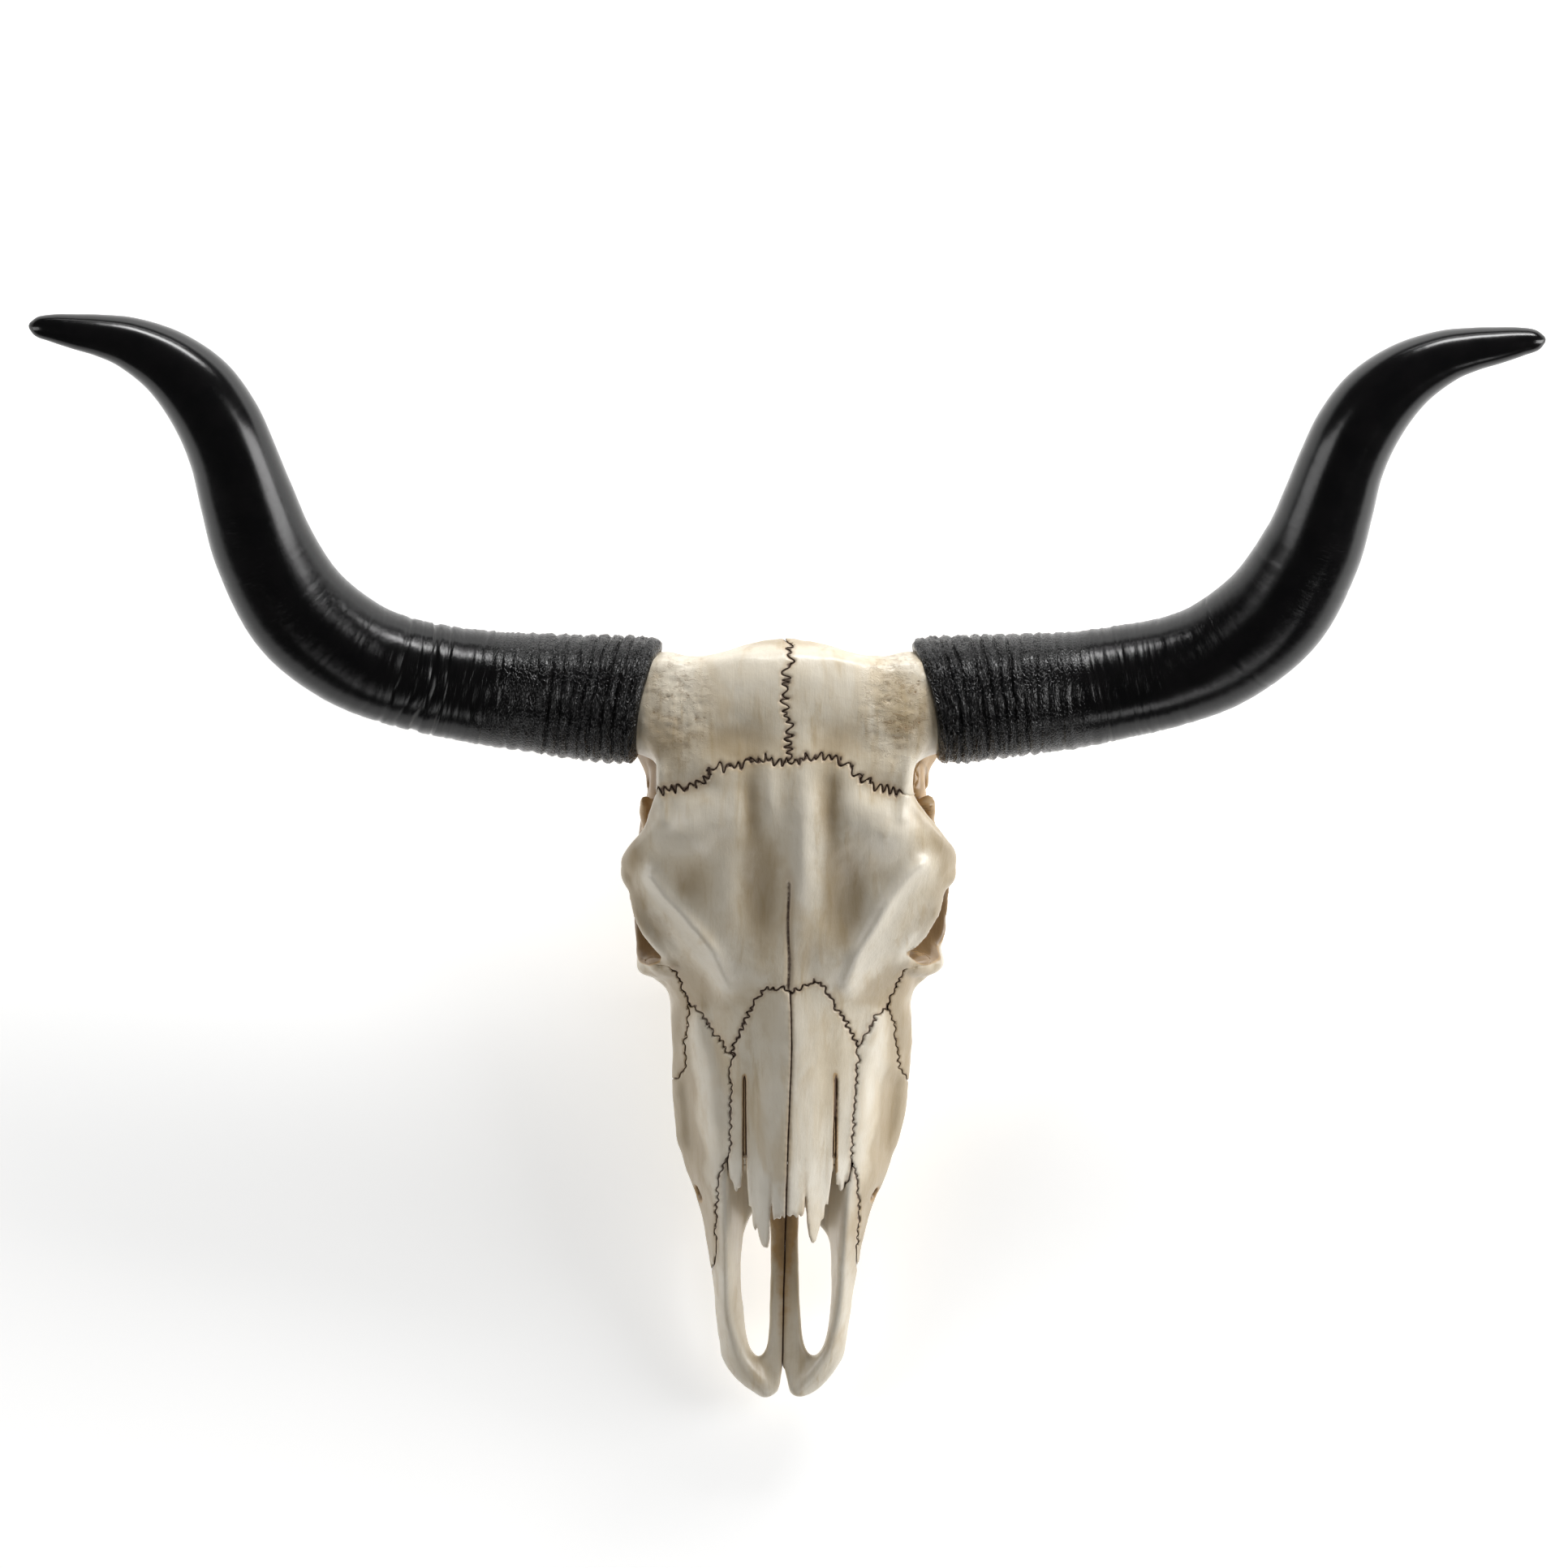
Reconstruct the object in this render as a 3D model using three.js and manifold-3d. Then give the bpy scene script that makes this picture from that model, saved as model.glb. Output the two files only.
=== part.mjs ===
// Longhorn steer skull at life size, in millimetres, +Z up, lying on its cheek teeth and on
// the two processes beside the neck joint, nose towards -Y. The animal's own left is at +X.
//
// The bone is lofted whole from cross-sections, hollowed where it is open, and then parted
// along its sutures, so that every bone is a solid of its own. "u" is the distance from the
// top of the poll towards the nose. Measures are for one side; the other side mirrors it.

import * as THREE from 'three';
import { LoftGeometry } from 'three/addons/geometries/LoftGeometry.js';
import { mergeVertices } from 'three/addons/utils/BufferGeometryUtils.js';
import Module from 'manifold-3d';

const wasm = await Module();
wasm.setup();

// ---- Driving dimensions ----

const POLL_Y = 145; // the top of the poll, so that the origin is under the middle of the box
const SKULL_LENGTH = 499;
const HORN_SPAN = 990;
const GAP = 0.4; // clear space in every suture

const TRANSVERSE_U = 81; // suture across the forehead, on the midline
const NASAL_TIP_U = 399;
const NASAL_FLOOR_Z = 46; // floor of the nasal passage, above the palate
const ALVEOLAR_Z = 27; // lower edge of the jaw bone, from which the teeth stand out
const NASAL_THICKNESS = 9;
const BASE_CUT_Z = 132; // level at which the skull roof meets the bones of its base

const ORBIT = { x: 97, u: 183, z: 133, radius: [40, 33, 33] };
const TOOTH_ROW = { front: 366, back: 230, inner: 47, outerFront: 60, outerBack: 71 };
const NECK = { u: 45, z: 172, radius: 34 }; // bony root that carries each horn

// ---- Small tools ----

const along = (u) => POLL_Y - u;

// A smooth function through [position, value] pairs that doesn't overshoot between them.
function curve(pairs) {
  const n = pairs.length;
  const slope = (i) => (pairs[i + 1][1] - pairs[i][1]) / (pairs[i + 1][0] - pairs[i][0]);
  const tangent = pairs.map((_, i) => {
    if (i === 0 || i === n - 1) return slope(Math.min(i, n - 2));
    const [a, b] = [slope(i - 1), slope(i)];
    return a * b <= 0 ? 0 : (2 * a * b) / (a + b);
  });
  return (position) => {
    const t = THREE.MathUtils.clamp(position, pairs[0][0], pairs[n - 1][0]);
    let i = 0;
    while (i < n - 2 && t > pairs[i + 1][0]) i += 1;
    const width = pairs[i + 1][0] - pairs[i][0];
    const s = (t - pairs[i][0]) / width;
    const [p, q] = [pairs[i][1], pairs[i + 1][1]];
    const [m, k] = [tangent[i] * width, tangent[i + 1] * width];
    return (
      p * (2 * s ** 3 - 3 * s ** 2 + 1) +
      m * (s ** 3 - 2 * s ** 2 + s) +
      q * (3 * s ** 2 - 2 * s ** 3) +
      k * (s ** 3 - s ** 2)
    );
  };
}

// A skull is never quite symmetric: its midline wanders a little to one side and back.
const drift = curve([[0, 0], [150, 0], [233, 2], [267, 3], [320, 1], [380, -1], [480, -3], [500, -3]]);
const drifted = (solid) => solid.warp((v) => {
  v[0] += drift(POLL_Y - v[1]);
});

function toSolid(geometry) {
  const bare = geometry.index ? geometry.toNonIndexed() : geometry.clone();
  bare.deleteAttribute('normal');
  bare.deleteAttribute('uv');
  const merged = mergeVertices(bare, 1e-3);
  const triVerts = new Uint32Array(merged.index.array);
  const vertProperties = merged.attributes.position.array;
  const made = new wasm.Manifold(new wasm.Mesh({ numProp: 3, vertProperties, triVerts }));
  if (made.volume() > 0) return made;
  const turned = triVerts.slice();
  for (let i = 0; i < turned.length; i += 3) [turned[i], turned[i + 1]] = [turned[i + 1], turned[i]];
  return new wasm.Manifold(new wasm.Mesh({ numProp: 3, vertProperties, triVerts: turned }));
}

function toGeometry(solid) {
  const { vertProperties, triVerts, numProp, numVert } = solid.getMesh();
  const position = new Float32Array(numVert * 3);
  for (let i = 0; i < numVert; i += 1) {
    for (let k = 0; k < 3; k += 1) position[3 * i + k] = vertProperties[numProp * i + k];
  }
  return new THREE.BufferGeometry()
    .setAttribute('position', new THREE.BufferAttribute(position, 3))
    .setIndex(new THREE.BufferAttribute(triVerts, 1));
}

const largestOf = (solid) => solid.decompose().reduce((a, b) => (a.volume() > b.volume() ? a : b));

// Rings have to run counterclockwise seen from the end of the loft, so they are turned if need be.
function loft(rings) {
  const middle = (ring) => ring.reduce((sum, p) => sum.add(p), new THREE.Vector3()).divideScalar(ring.length);
  const centre = middle(rings[0]);
  const turn = new THREE.Vector3();
  rings[0].forEach((p, i, ring) => {
    const next = ring[(i + 1) % ring.length].clone().sub(centre);
    turn.add(p.clone().sub(centre).cross(next));
  });
  const ahead = middle(rings[1]).sub(centre);
  const ordered = turn.dot(ahead) > 0 ? rings : rings.map((ring) => ring.slice().reverse());
  return toSolid(new LoftGeometry(ordered, { capStart: true, capEnd: true }));
}

const bothSides = (make) => [-1, 1].map(make);
const sided = (side) => (side > 0 ? 'left' : 'right');
const joined = (first, ...others) => others.flat().reduce((a, b) => a.add(b), first);
const carved = (first, ...others) => others.flat().reduce((a, b) => a.subtract(b), first);

function ellipsoid(x, u, z, [rx, ru, rz], columns = 12, rows = 8) {
  const ball = new THREE.SphereGeometry(1, columns, rows).scale(rx, ru, rz);
  return toSolid(ball.translate(x, along(u), z));
}

// An upright prism over an outline of [x, u] points, measured from the wandering midline.
// grow widens the outline all round.
function prism(outline, low, high, grow = 0) {
  const points = outline.map(([x, u]) => new THREE.Vector2(x + drift(u), along(u)));
  if (THREE.ShapeUtils.isClockWise(points)) points.reverse();
  const n = points.length;
  const moved = points.map((p, i) => {
    const before = p.clone().sub(points[(i + n - 1) % n]).normalize();
    const after = points[(i + 1) % n].clone().sub(p).normalize();
    const out = new THREE.Vector2(before.y + after.y, -before.x - after.x);
    return p.clone().addScaledVector(out, (2 * grow) / Math.max(out.lengthSq(), 0.8));
  });
  const body = new THREE.ExtrudeGeometry(new THREE.Shape(moved), { depth: high - low, bevelEnabled: false });
  return toSolid(body.translate(0, 0, low));
}

const mirrored = (outline, side) => outline.map(([x, u]) => [side * x, u]);

// A bar through [x, u, z, radius] points, round or stretched upwards.
function bar(points, columns = 8, stretch = 1) {
  const path = new THREE.CatmullRomCurve3(points.map(([x, u, z]) => new THREE.Vector3(x, along(u), z)));
  const radius = curve(points.map((p, i) => [i / (points.length - 1), p[3]]));
  return loft(ringsAlong(path, points.length, columns, radius, stretch));
}

// A slab with its outline, in [u, z], seen from the side.
function slab(outline, from, to) {
  const shape = new THREE.Shape(outline.map(([u, z]) => new THREE.Vector2(along(u), z)));
  const body = new THREE.ExtrudeGeometry(shape, { depth: to - from, bevelEnabled: false });
  const [x, y, z] = [[1, 0, 0], [0, 1, 0], [0, 0, 1]].map((v) => new THREE.Vector3(...v));
  return toSolid(body.applyMatrix4(new THREE.Matrix4().makeBasis(y, z, x)).translate(from, 0, 0));
}

function ringsAlong(path, count, columns, radiusAt, stretch = 1) {
  const up = new THREE.Vector3(0, 0, 1);
  return Array.from({ length: count }, (_, i) => {
    const t = i / (count - 1);
    const centre = path.getPoint(t);
    const ahead = path.getTangent(t);
    const reference = Math.abs(ahead.z) > 0.9 ? new THREE.Vector3(0, 1, 0) : up;
    const across = new THREE.Vector3().crossVectors(ahead, reference).normalize();
    const rise = new THREE.Vector3().crossVectors(across, ahead);
    const radius = radiusAt(t);
    return Array.from({ length: columns }, (_unused, k) => {
      const a = (2 * Math.PI * k) / columns;
      return centre
        .clone()
        .addScaledVector(across, radius * Math.cos(a))
        .addScaledVector(rise, radius * stretch * Math.sin(a));
    });
  });
}

// ---- Form of the skull roof ----

const halfWidth = curve([
  [2, 26], [8, 52], [14, 86], [40, 88], [65, 87], [85, 83], [103, 84], [113, 88.5], [123, 95],
  [130, 101], [139, 108], [147, 110], [158, 105.5], [173, 101.5], [188, 97], [201, 91], [212, 86],
  [221, 82], [232, 78.5], [250, 76], [311, 76], [327, 73], [343, 67], [367, 58.5], [383, 52.5],
  [407, 48], [439, 44.5], [471, 39.7], [487, 33], [495, 26], [499, 17],
]);
const midHeight = curve([
  [2, 205], [8, 213], [25, 218], [60, 216], [100, 207], [150, 192], [200, 172], [233, 159],
  [270, 147], [320, 133], [360, 122], [400, 109],
]);
const edgeHeight = curve([
  [2, 199], [25, 204], [60, 203], [85, 199], [113, 188], [130, 177], [147, 160], [180, 151],
  [205, 140], [220, 120], [240, 98], [290, 72], [345, 62], [385, 60], [425, 46], [470, 36], [499, 31],
]);
const fallPower = curve([[0, 2.2], [80, 2.6], [150, 3.2], [205, 2.6], [240, 1.8], [345, 1.9]]);

// Height of the roof at x. In front of NOSE_OPENS the roof is a trough between two side bars.
const NOSE_OPENS = 343;
const barRidgeX = curve([[343, 40], [380, 38], [440, 37], [470, 32], [499, 8]]);
const barRidgeZ = curve([[343, 103], [365, 96], [400, 79], [440, 57], [470, 46], [499, 34]]);

function roof(x, u) {
  const share = Math.min(Math.abs(x) / halfWidth(u), 1);
  return midHeight(u) - (midHeight(u) - edgeHeight(u)) * share ** fallPower(u);
}

// ---- Cross-sections of the head ----

// Points below the roof's edge, from the side down to the midline, each a pair of curves.
const stations = [
  // u, then side 1, side 2, side 3, lower corner, lower inner point as x, z, then middle z
  [2, 25, 197, 22, 193, 18, 190, 10, 188, 5, 187, 187],
  [8, 54, 194, 50, 180, 40, 168, 22, 160, 10, 158, 158],
  [14, 87, 182, 86, 152, 70, 130, 40, 118, 18, 112, 112],
  [24, 90, 176, 99, 138, 96, 112, 52, 82, 24, 64, 62],
  [40, 90, 172, 101, 136, 104, 112, 62, 74, 25, 56, 54],
  [65, 88, 172, 99, 138, 103, 112, 60, 72, 24, 54, 52],
  [82, 80, 172, 72, 142, 96, 112, 50, 78, 22, 60, 57],
  [98, 76, 170, 60, 142, 66, 112, 44, 80, 20, 62, 60],
  [120, 88, 162, 60, 138, 58, 110, 42, 84, 20, 68, 65],
  [145, 108, 150, 104, 128, 92, 104, 44, 86, 20, 74, 71],
  [170, 102, 136, 101, 112, 97, 92, 46, 84, 20, 78, 76],
  [200, 100, 124, 100, 108, 97, 88, 48, 76, 20, 72, 70],
  [214, 97, 108, 95, 98, 88, 84, 52, 66, 24, 62, 60],
  [228, 80, 92, 79, 70, 74, 34, 47, 28, 36, 44, 44],
  [236, 78, 84, 77, 58, 72, 28, 47, 27, 37, 40, 39],
  [300, 76, 64, 73, 46, 70, 28, 46, 27, 37, 40, 39],
  [345, 67, 56, 64, 44, 60, 29, 44, 28, 35, 40, 39],
  [368, 58, 62, 55, 46, 52, 34, 42, 33, 30, 38, 38],
  [385, 52, 66, 51, 50, 48, 34, 40, 32, 28, 36, 36],
  [425, 45.5, 50, 44, 40, 42, 31, 36, 29, 26, 32, 32],
  [470, 39, 38, 38, 33, 36, 28, 30, 26, 22, 27, 27],
  [499, 17, 31, 16, 29, 14, 28, 10, 27, 6, 27, 27],
];
const lowerCurves = Array.from({ length: 11 }, (_, k) => curve(stations.map((row) => [row[0], row[k + 1]])));

const roofSteps = [0, 0.28, 0.52, 0.74, 0.9, 1];

function roofLine(u) {
  const w = halfWidth(u);
  if (u <= NOSE_OPENS) return roofSteps.map((t) => [w * t, roof(w * t, u)]);
  const ridge = Math.min(barRidgeX(u), w - 3);
  const floor = Math.min(NASAL_FLOOR_Z - (u - NOSE_OPENS) * 0.07, barRidgeZ(u) - 1);
  const top = barRidgeZ(u);
  const drop = top - edgeHeight(u);
  return [
    [0, floor], [ridge * 0.6, floor], [ridge * 0.82, floor + (top - floor) * 0.4],
    [ridge, top], [ridge + (w - ridge) * 0.6, top - drop * 0.5], [w, top - drop],
  ];
}

function headRing(u) {
  const lower = [0, 2, 4, 6, 8].map((k) => [lowerCurves[k](u), lowerCurves[k + 1](u)]);
  const half = [...roofLine(u), ...lower];
  const other = half.slice(1).map(([x, z]) => [-x, z]);
  const ring = [[0, lowerCurves[10](u)], ...half.slice().reverse(), ...other];
  return ring.map(([x, z]) => new THREE.Vector3(x, along(u), z));
}

const ringPlaces = [
  2, 8, 14, 24, 42, 65, 86, 106, 120, 132, 147, 160, 188, 206, 216, 226, 240, 280, NOSE_OPENS,
  NOSE_OPENS + 1, 375, 410, 445, 482, SKULL_LENGTH,
];

const blank = loft(ringPlaces.map(headRing));

// ---- What is added to the blank ----

function cheekTeeth(side) {
  const { front, back, inner, outerFront, outerBack } = TOOTH_ROW;
  const lobes = 9; // three premolars of one lobe and three molars of two
  const steps = lobes * 3;
  const outer = [];
  for (let i = 0; i <= steps; i += 1) {
    const t = i / steps;
    const groove = i % 3 === 0 ? 2.5 : 0; // between two lobes
    const x = THREE.MathUtils.lerp(outerBack, outerFront, t ** 2) - groove;
    outer.push([side * x, back + (front - back) * t]);
  }
  const innerEdge = [1, 0.75, 0.5, 0.25, 0].map((t) => [side * inner, back + (front - back) * t]);
  return prism([...outer, ...innerEdge], 0, ALVEOLAR_Z + 6);
}

// The process beside the neck joint, which ends in a small flat on the ground.
function paracondylarProcess(side) {
  const levels = [[110, 44, 26], [72, 46, 22], [42, 50, 16], [16, 54, 10.5], [0, 55, 7]];
  return loft(levels.map(([z, u, r]) =>
    Array.from({ length: 8 }, (_, k) => {
      const a = (2 * Math.PI * k) / 8;
      return new THREE.Vector3(side * (54 + 0.08 * z) + 0.55 * r * Math.cos(a), along(u) + r * Math.sin(a), z);
    })));
}

const condyle = (side) => ellipsoid(side * 29, 24, 74, [18, 21, 27], 10, 6);
const bulla = (side) => ellipsoid(side * 44, 84, 62, [14, 18, 25], 10, 6);
const earOpening = (side) => ellipsoid(side * 78, 78, 96, [26, 9, 12], 8, 6);
const zygomaticArch = (side) =>
  bar([[side * 96, 66, 112, 8], [side * 93, 100, 110, 6], [side * 98, 125, 107, 6], [side * 99, 155, 103, 6],
    [side * 96, 190, 96, 7]], 8, 1.7);
const hornRoot = (side) =>
  bar([[side * 60, 46, 176, 30], [side * 84, NECK.u, NECK.z, NECK.radius],
    [side * 104, NECK.u - 1, NECK.z, NECK.radius - 3]], 12);

// Upright wings at the back of the palate, beside the inner nostrils.
function pterygoidWing(side) {
  const inner = side < 0 ? -31 : 24;
  return slab([[178, 84], [190, 58], [204, 44], [222, 38], [242, 40], [242, 70], [226, 84]], inner, inner + 7);
}

// ---- What is taken away ----

const orbitHollow = (side) => ellipsoid(side * ORBIT.x, ORBIT.u, ORBIT.z, ORBIT.radius);
const temporalHollow = (side) => ellipsoid(side * 80, 114, 138, [22, 34, 38]);
const archWindow = (side) =>
  prism(mirrored([[66, 88], [82, 86], [87, 100], [91, 125], [91, 160], [87, 186], [74, 196], [60, 186],
    [56, 150], [58, 108]], side), 20, 126);
const nuchalHollow = (side) => ellipsoid(side * 44, 2, 128, [30, 14, 34], 10, 6);
const cheekHollow = (side) => ellipsoid(side * 92, 322, 100, [24, 46, 20], 10, 6);
const infraorbitalHole = (side) => bar([[side * 66, 372, 66, 4.5], [side * 50, 352, 68, 4]], 6);

function foramenMagnum() {
  const hole = new THREE.CylinderGeometry(18, 14, 46, 12).scale(1, 1, 0.9);
  return toSolid(hole.translate(0, along(26), 86));
}

function nasalPassage() {
  const places = [
    [285, 14, 52, 100], [310, 26, 48, 112], [NOSE_OPENS, 31, NASAL_FLOOR_Z, 112],
    [372, 31, NASAL_FLOOR_Z - 1, 118],
  ];
  return loft(places.map(([u, w, low, high]) => {
    const mid = (low + high) / 2;
    const tall = (high - low) / 2;
    return Array.from({ length: 12 }, (_, k) => {
      const a = (2 * Math.PI * k) / 12;
      const [c, s] = [Math.cos(a), Math.sin(a)];
      const across = w * Math.sign(c) * Math.abs(c) ** 0.6;
      const rise = tall * Math.sign(s) * Math.abs(s) ** 0.6;
      return new THREE.Vector3(across, along(u), mid + rise);
    });
  }));
}

// The long gap between the side bar and the middle bar of the incisive bone.
const fissure = (side) =>
  prism(mirrored([[11, 378], [20, 376], [29, 386], [29, 420], [28, 452], [25, 465], [19, 472], [13, 466],
    [10.5, 450]], side), 10, 130);

// ---- Nasal bones ----

const nasalOutline = (side) => mirrored([
  [0.3, 233], [5, 229], [16, 226], [22, 234], [29, 244], [35, 254], [40, 268], [41, 284], [39, 312],
  [39, 341], [38, 352], [36, 364], [33, 361], [30.5, 349], [28.5, 349], [24, 376], [21, 392], [17, NASAL_TIP_U],
  [13, 396], [11, 380], [2, 380], [0.3, 378],
], side);

// Everything below the roof of the face, as if the nose were closed, sunk by a drop.
function roofBlock(drop) {
  const places = [216, 226, 240, 280, NOSE_OPENS, 375, 410];
  return drifted(loft(places.map((u) => {
    const line = roofSteps.map((t) => [t * halfWidth(u), roof(t * halfWidth(u), u) - drop]);
    const ring = [[-60, 0], ...line.slice(1).reverse().map(([x, z]) => [-x, z]), ...line, [60, 0]];
    return ring.map(([x, z]) => new THREE.Vector3(x, along(u), z));
  })));
}

const nasalBone = (side) =>
  prism(nasalOutline(side), 20, 260).intersect(roofBlock(0)).subtract(roofBlock(NASAL_THICKNESS));
const nasalCutter = (side) =>
  prism(nasalOutline(side), 20, 260, GAP).subtract(roofBlock(NASAL_THICKNESS + GAP));

// ---- Parting the head along its sutures ----

const transverseSuture = [
  [-130, 102], [-72, 102], [-60, 98], [-46, 87], [-38, 83], [0, TRANSVERSE_U], [38, 83], [46, 87], [60, 98],
  [72, 102], [130, 102],
];
const faceSuture = [[130, 216], [77, 216], [66, 240], [53, 255], [38, 275]];

function incisiveOutline(side) {
  return mirrored([
    [GAP / 2, 380], [30, 380], [34, 352], [41.5, 341], [45, 353], [47, 375], [48.5, 400], [48, 424], [70, 428],
    [70, 520], [5, 520], [4, 490], [GAP / 2, 476],
  ], side);
}

function zygomaticCutter(side, grow) {
  const upper = [[66, 240], [67, 257], [69, 273], [73, 284], [80, 290], [130, 290], [130, 216], [77, 216]];
  const lower = [[57, 150], [130, 150], [130, 230], [71, 230], [57, 222]];
  return prism(mirrored(upper, side), 56, 240, grow).add(prism(mirrored(lower, side), 40, 117, grow));
}

function frontalCutter(grow) {
  const front = [...faceSuture, [0, 231], ...mirrored(faceSuture, -1).reverse()];
  const whole = prism([...transverseSuture, ...front], 100, 260, grow);
  const behind = prism([[-140, 60], [140, 60], [140, 158], [-140, 158]], 60, BASE_CUT_Z - grow);
  return whole.subtract(behind);
}

function pollCutter(side, grow) {
  const half = side < 0 ? transverseSuture.slice(0, 6) : transverseSuture.slice(5);
  const inner = side * (GAP / 2);
  const outline = half.map(([x, u]) => (x === 0 ? [inner, u] : [x, u]));
  const ends = side < 0 ? [[inner, -20], [-130, -20]] : [[130, -20], [inner, -20]];
  return prism([...outline, ...ends], BASE_CUT_Z, 260, grow);
}

const temporalCutter = (side, grow) => {
  const outline = [[84, -10], [140, -10], [140, 158], [34, 158], [25, 104], [32, 66], [80, 62]];
  return prism(mirrored(outline, side), 20, BASE_CUT_Z, grow);
};
const palatineCutter = (grow) =>
  prism([[-35, 196], [35, 196], [37, 222], [36, 300], [-36, 300], [-37, 222]], 10, 100, grow);
const sphenoidCutter = (grow) =>
  prism([[-24, 104], [24, 104], [35, 158], [36, 200], [-36, 200], [-35, 158]], 10, 100, grow);
const occipitalCutter = (grow) =>
  prism([[-100, -30], [100, -30], [100, 150], [-100, 150]], 0, BASE_CUT_Z, grow);
const maxillaCutter = (side, grow) =>
  prism(mirrored([[GAP / 2, 150], [150, 150], [150, 520], [GAP / 2, 520]], side), -1, 260, grow);

function partHead(head) {
  const bones = {};
  let rest = head;
  const take = (name, cutter) => {
    bones[name] = largestOf(rest.intersect(cutter(0)));
    rest = rest.subtract(cutter(GAP));
  };
  bothSides((side) => take('incisive_' + sided(side), (grow) => prism(incisiveOutline(side), 0, 260, grow)));
  const frontNotch = prism([[-80, 440], [80, 440], [80, 520], [-80, 520]], 0, 260);
  rest = rest.subtract(frontNotch);
  bothSides((side) => take('zygomatic_' + sided(side), (grow) => zygomaticCutter(side, grow)));
  take('frontal', frontalCutter);
  bothSides((side) => take('poll_' + sided(side), (grow) => pollCutter(side, grow)));
  bothSides((side) => take('temporal_' + sided(side), (grow) => temporalCutter(side, grow)));
  take('palatine', palatineCutter);
  take('sphenoid', sphenoidCutter);
  take('occipital', occipitalCutter);
  bothSides((side) => take('maxilla_' + sided(side), (grow) => maxillaCutter(side, grow)));
  return bones;
}

// ---- Horns ----

// Centre line as [x, u, z] and radius, from the base to the tip.
const hornLine = [
  [90, 41.5, 172, 41], [125, 39.5, 170, 41], [157, 37, 169, 39.5], [190, 34, 168, 37.6], [221, 29, 169, 36.6],
  [253, 22, 172, 36], [284, 10, 177, 36.2], [319, -17, 188, 36], [343, -57, 203, 33.2], [354, -88, 215, 30.6],
  [363, -116, 226, 28.3], [372, -137, 234, 27.6], [386, -158, 242, 26], [406, -176, 250, 21.8],
  [430, -188, 256, 17.2], [448, -192.5, 259, 14.2], [464, -195, 260.5, 12], [480, -197.5, 261.5, 9.2],
  [491, -198.5, 262, 6], [HORN_SPAN / 2, -199, 262, 2],
];

const HORN_RINGS = 20;

function horn(side) {
  const tipLift = side < 0 ? -4.5 : 4.5; // the two horns never grow quite alike
  const lift = (u) => tipLift * THREE.MathUtils.smoothstep(-u, 0, 200);
  const points = hornLine.map(([x, u, z]) => new THREE.Vector3(side * x, along(u + lift(u)), z));
  const path = new THREE.CatmullRomCurve3(points);
  const radius = curve(hornLine.map((p, i) => [i / (hornLine.length - 1), p[3]]));
  const body = loft(ringsAlong(path, HORN_RINGS, 12, radius));
  const socket = bar([[side * 70, 46, NECK.z + 2, NECK.radius + GAP],
    [side * 84, NECK.u, NECK.z, NECK.radius + GAP],
    [side * (104 + 1.5 * GAP), NECK.u - 1, NECK.z, NECK.radius - 3 + GAP]], 12);
  return largestOf(body.subtract(socket).subtract(blank.translate([side * GAP, 0, GAP])));
}

// ---- Materials ----

const finish = (color, roughness) => new THREE.MeshStandardMaterial({ color, roughness, metalness: 0 });
const bone = finish('#ddd2bd', 0.5);
const hornBlack = finish('#17171a', 0.35);

// ---- Whole object ----

const skull = new THREE.Group();

function place(name, solid, material) {
  const mesh = new THREE.Mesh(toGeometry(solid), material);
  mesh.name = name;
  skull.add(mesh);
}

const plain = carved(
  joined(
    blank, bothSides(paracondylarProcess), bothSides(condyle), bothSides(bulla), bothSides(hornRoot),
    bothSides(pterygoidWing),
  ),
  bothSides(orbitHollow), bothSides(temporalHollow), bothSides(archWindow),
  bothSides(nuchalHollow), bothSides(earOpening), bothSides(cheekHollow), bothSides(infraorbitalHole),
  foramenMagnum(), nasalPassage(),
);
const complete = joined(drifted(plain), bothSides(cheekTeeth), bothSides(zygomaticArch));
const head = carved(complete, bothSides(fissure), bothSides(nasalCutter));

for (const [name, solid] of Object.entries(partHead(head))) {
  place(name, solid, bone);
}
bothSides((side) => {
  place('nasal_' + sided(side), nasalBone(side), bone);
  place('horn_' + sided(side), horn(side), hornBlack);
});

export default skull;
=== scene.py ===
# %% [markdown]
# # A longhorn steer skull
# A museum skull lies on its cheek teeth, and the visitor looks down on its forehead. It is made
# of sixteen bones, two rows of teeth and two horns. We first load the CAD frame, which fixes
# where every bone is.

import math

import bpy
import numpy as np
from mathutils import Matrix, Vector


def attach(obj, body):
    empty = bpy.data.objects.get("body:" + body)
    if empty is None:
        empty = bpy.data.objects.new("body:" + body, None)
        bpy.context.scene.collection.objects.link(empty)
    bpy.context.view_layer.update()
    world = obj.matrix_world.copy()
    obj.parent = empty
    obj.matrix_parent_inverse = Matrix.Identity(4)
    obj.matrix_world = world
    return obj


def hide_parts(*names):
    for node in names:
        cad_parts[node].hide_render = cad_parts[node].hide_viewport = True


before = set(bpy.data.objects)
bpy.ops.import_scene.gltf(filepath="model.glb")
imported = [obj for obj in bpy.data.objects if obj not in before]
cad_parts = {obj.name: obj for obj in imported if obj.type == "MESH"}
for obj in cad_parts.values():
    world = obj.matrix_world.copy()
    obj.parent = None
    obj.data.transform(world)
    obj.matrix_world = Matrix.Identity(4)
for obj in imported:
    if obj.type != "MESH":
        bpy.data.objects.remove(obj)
bpy.context.view_layer.update()

# %% [markdown]
# ## The block of clay
# A skull has no straight edge, and its bones grow into each other, so polygons pushed by hand
# are a poor start. We sculpt in numbers instead. Space is a block of small cells, and each cell
# holds one number: how far it is from the surface, less than nothing inside. Two shapes are
# joined by the smaller number and carved by the larger one. We work in millimetres: x to the
# animal's left, u from the poll to the nose, z up.

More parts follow.
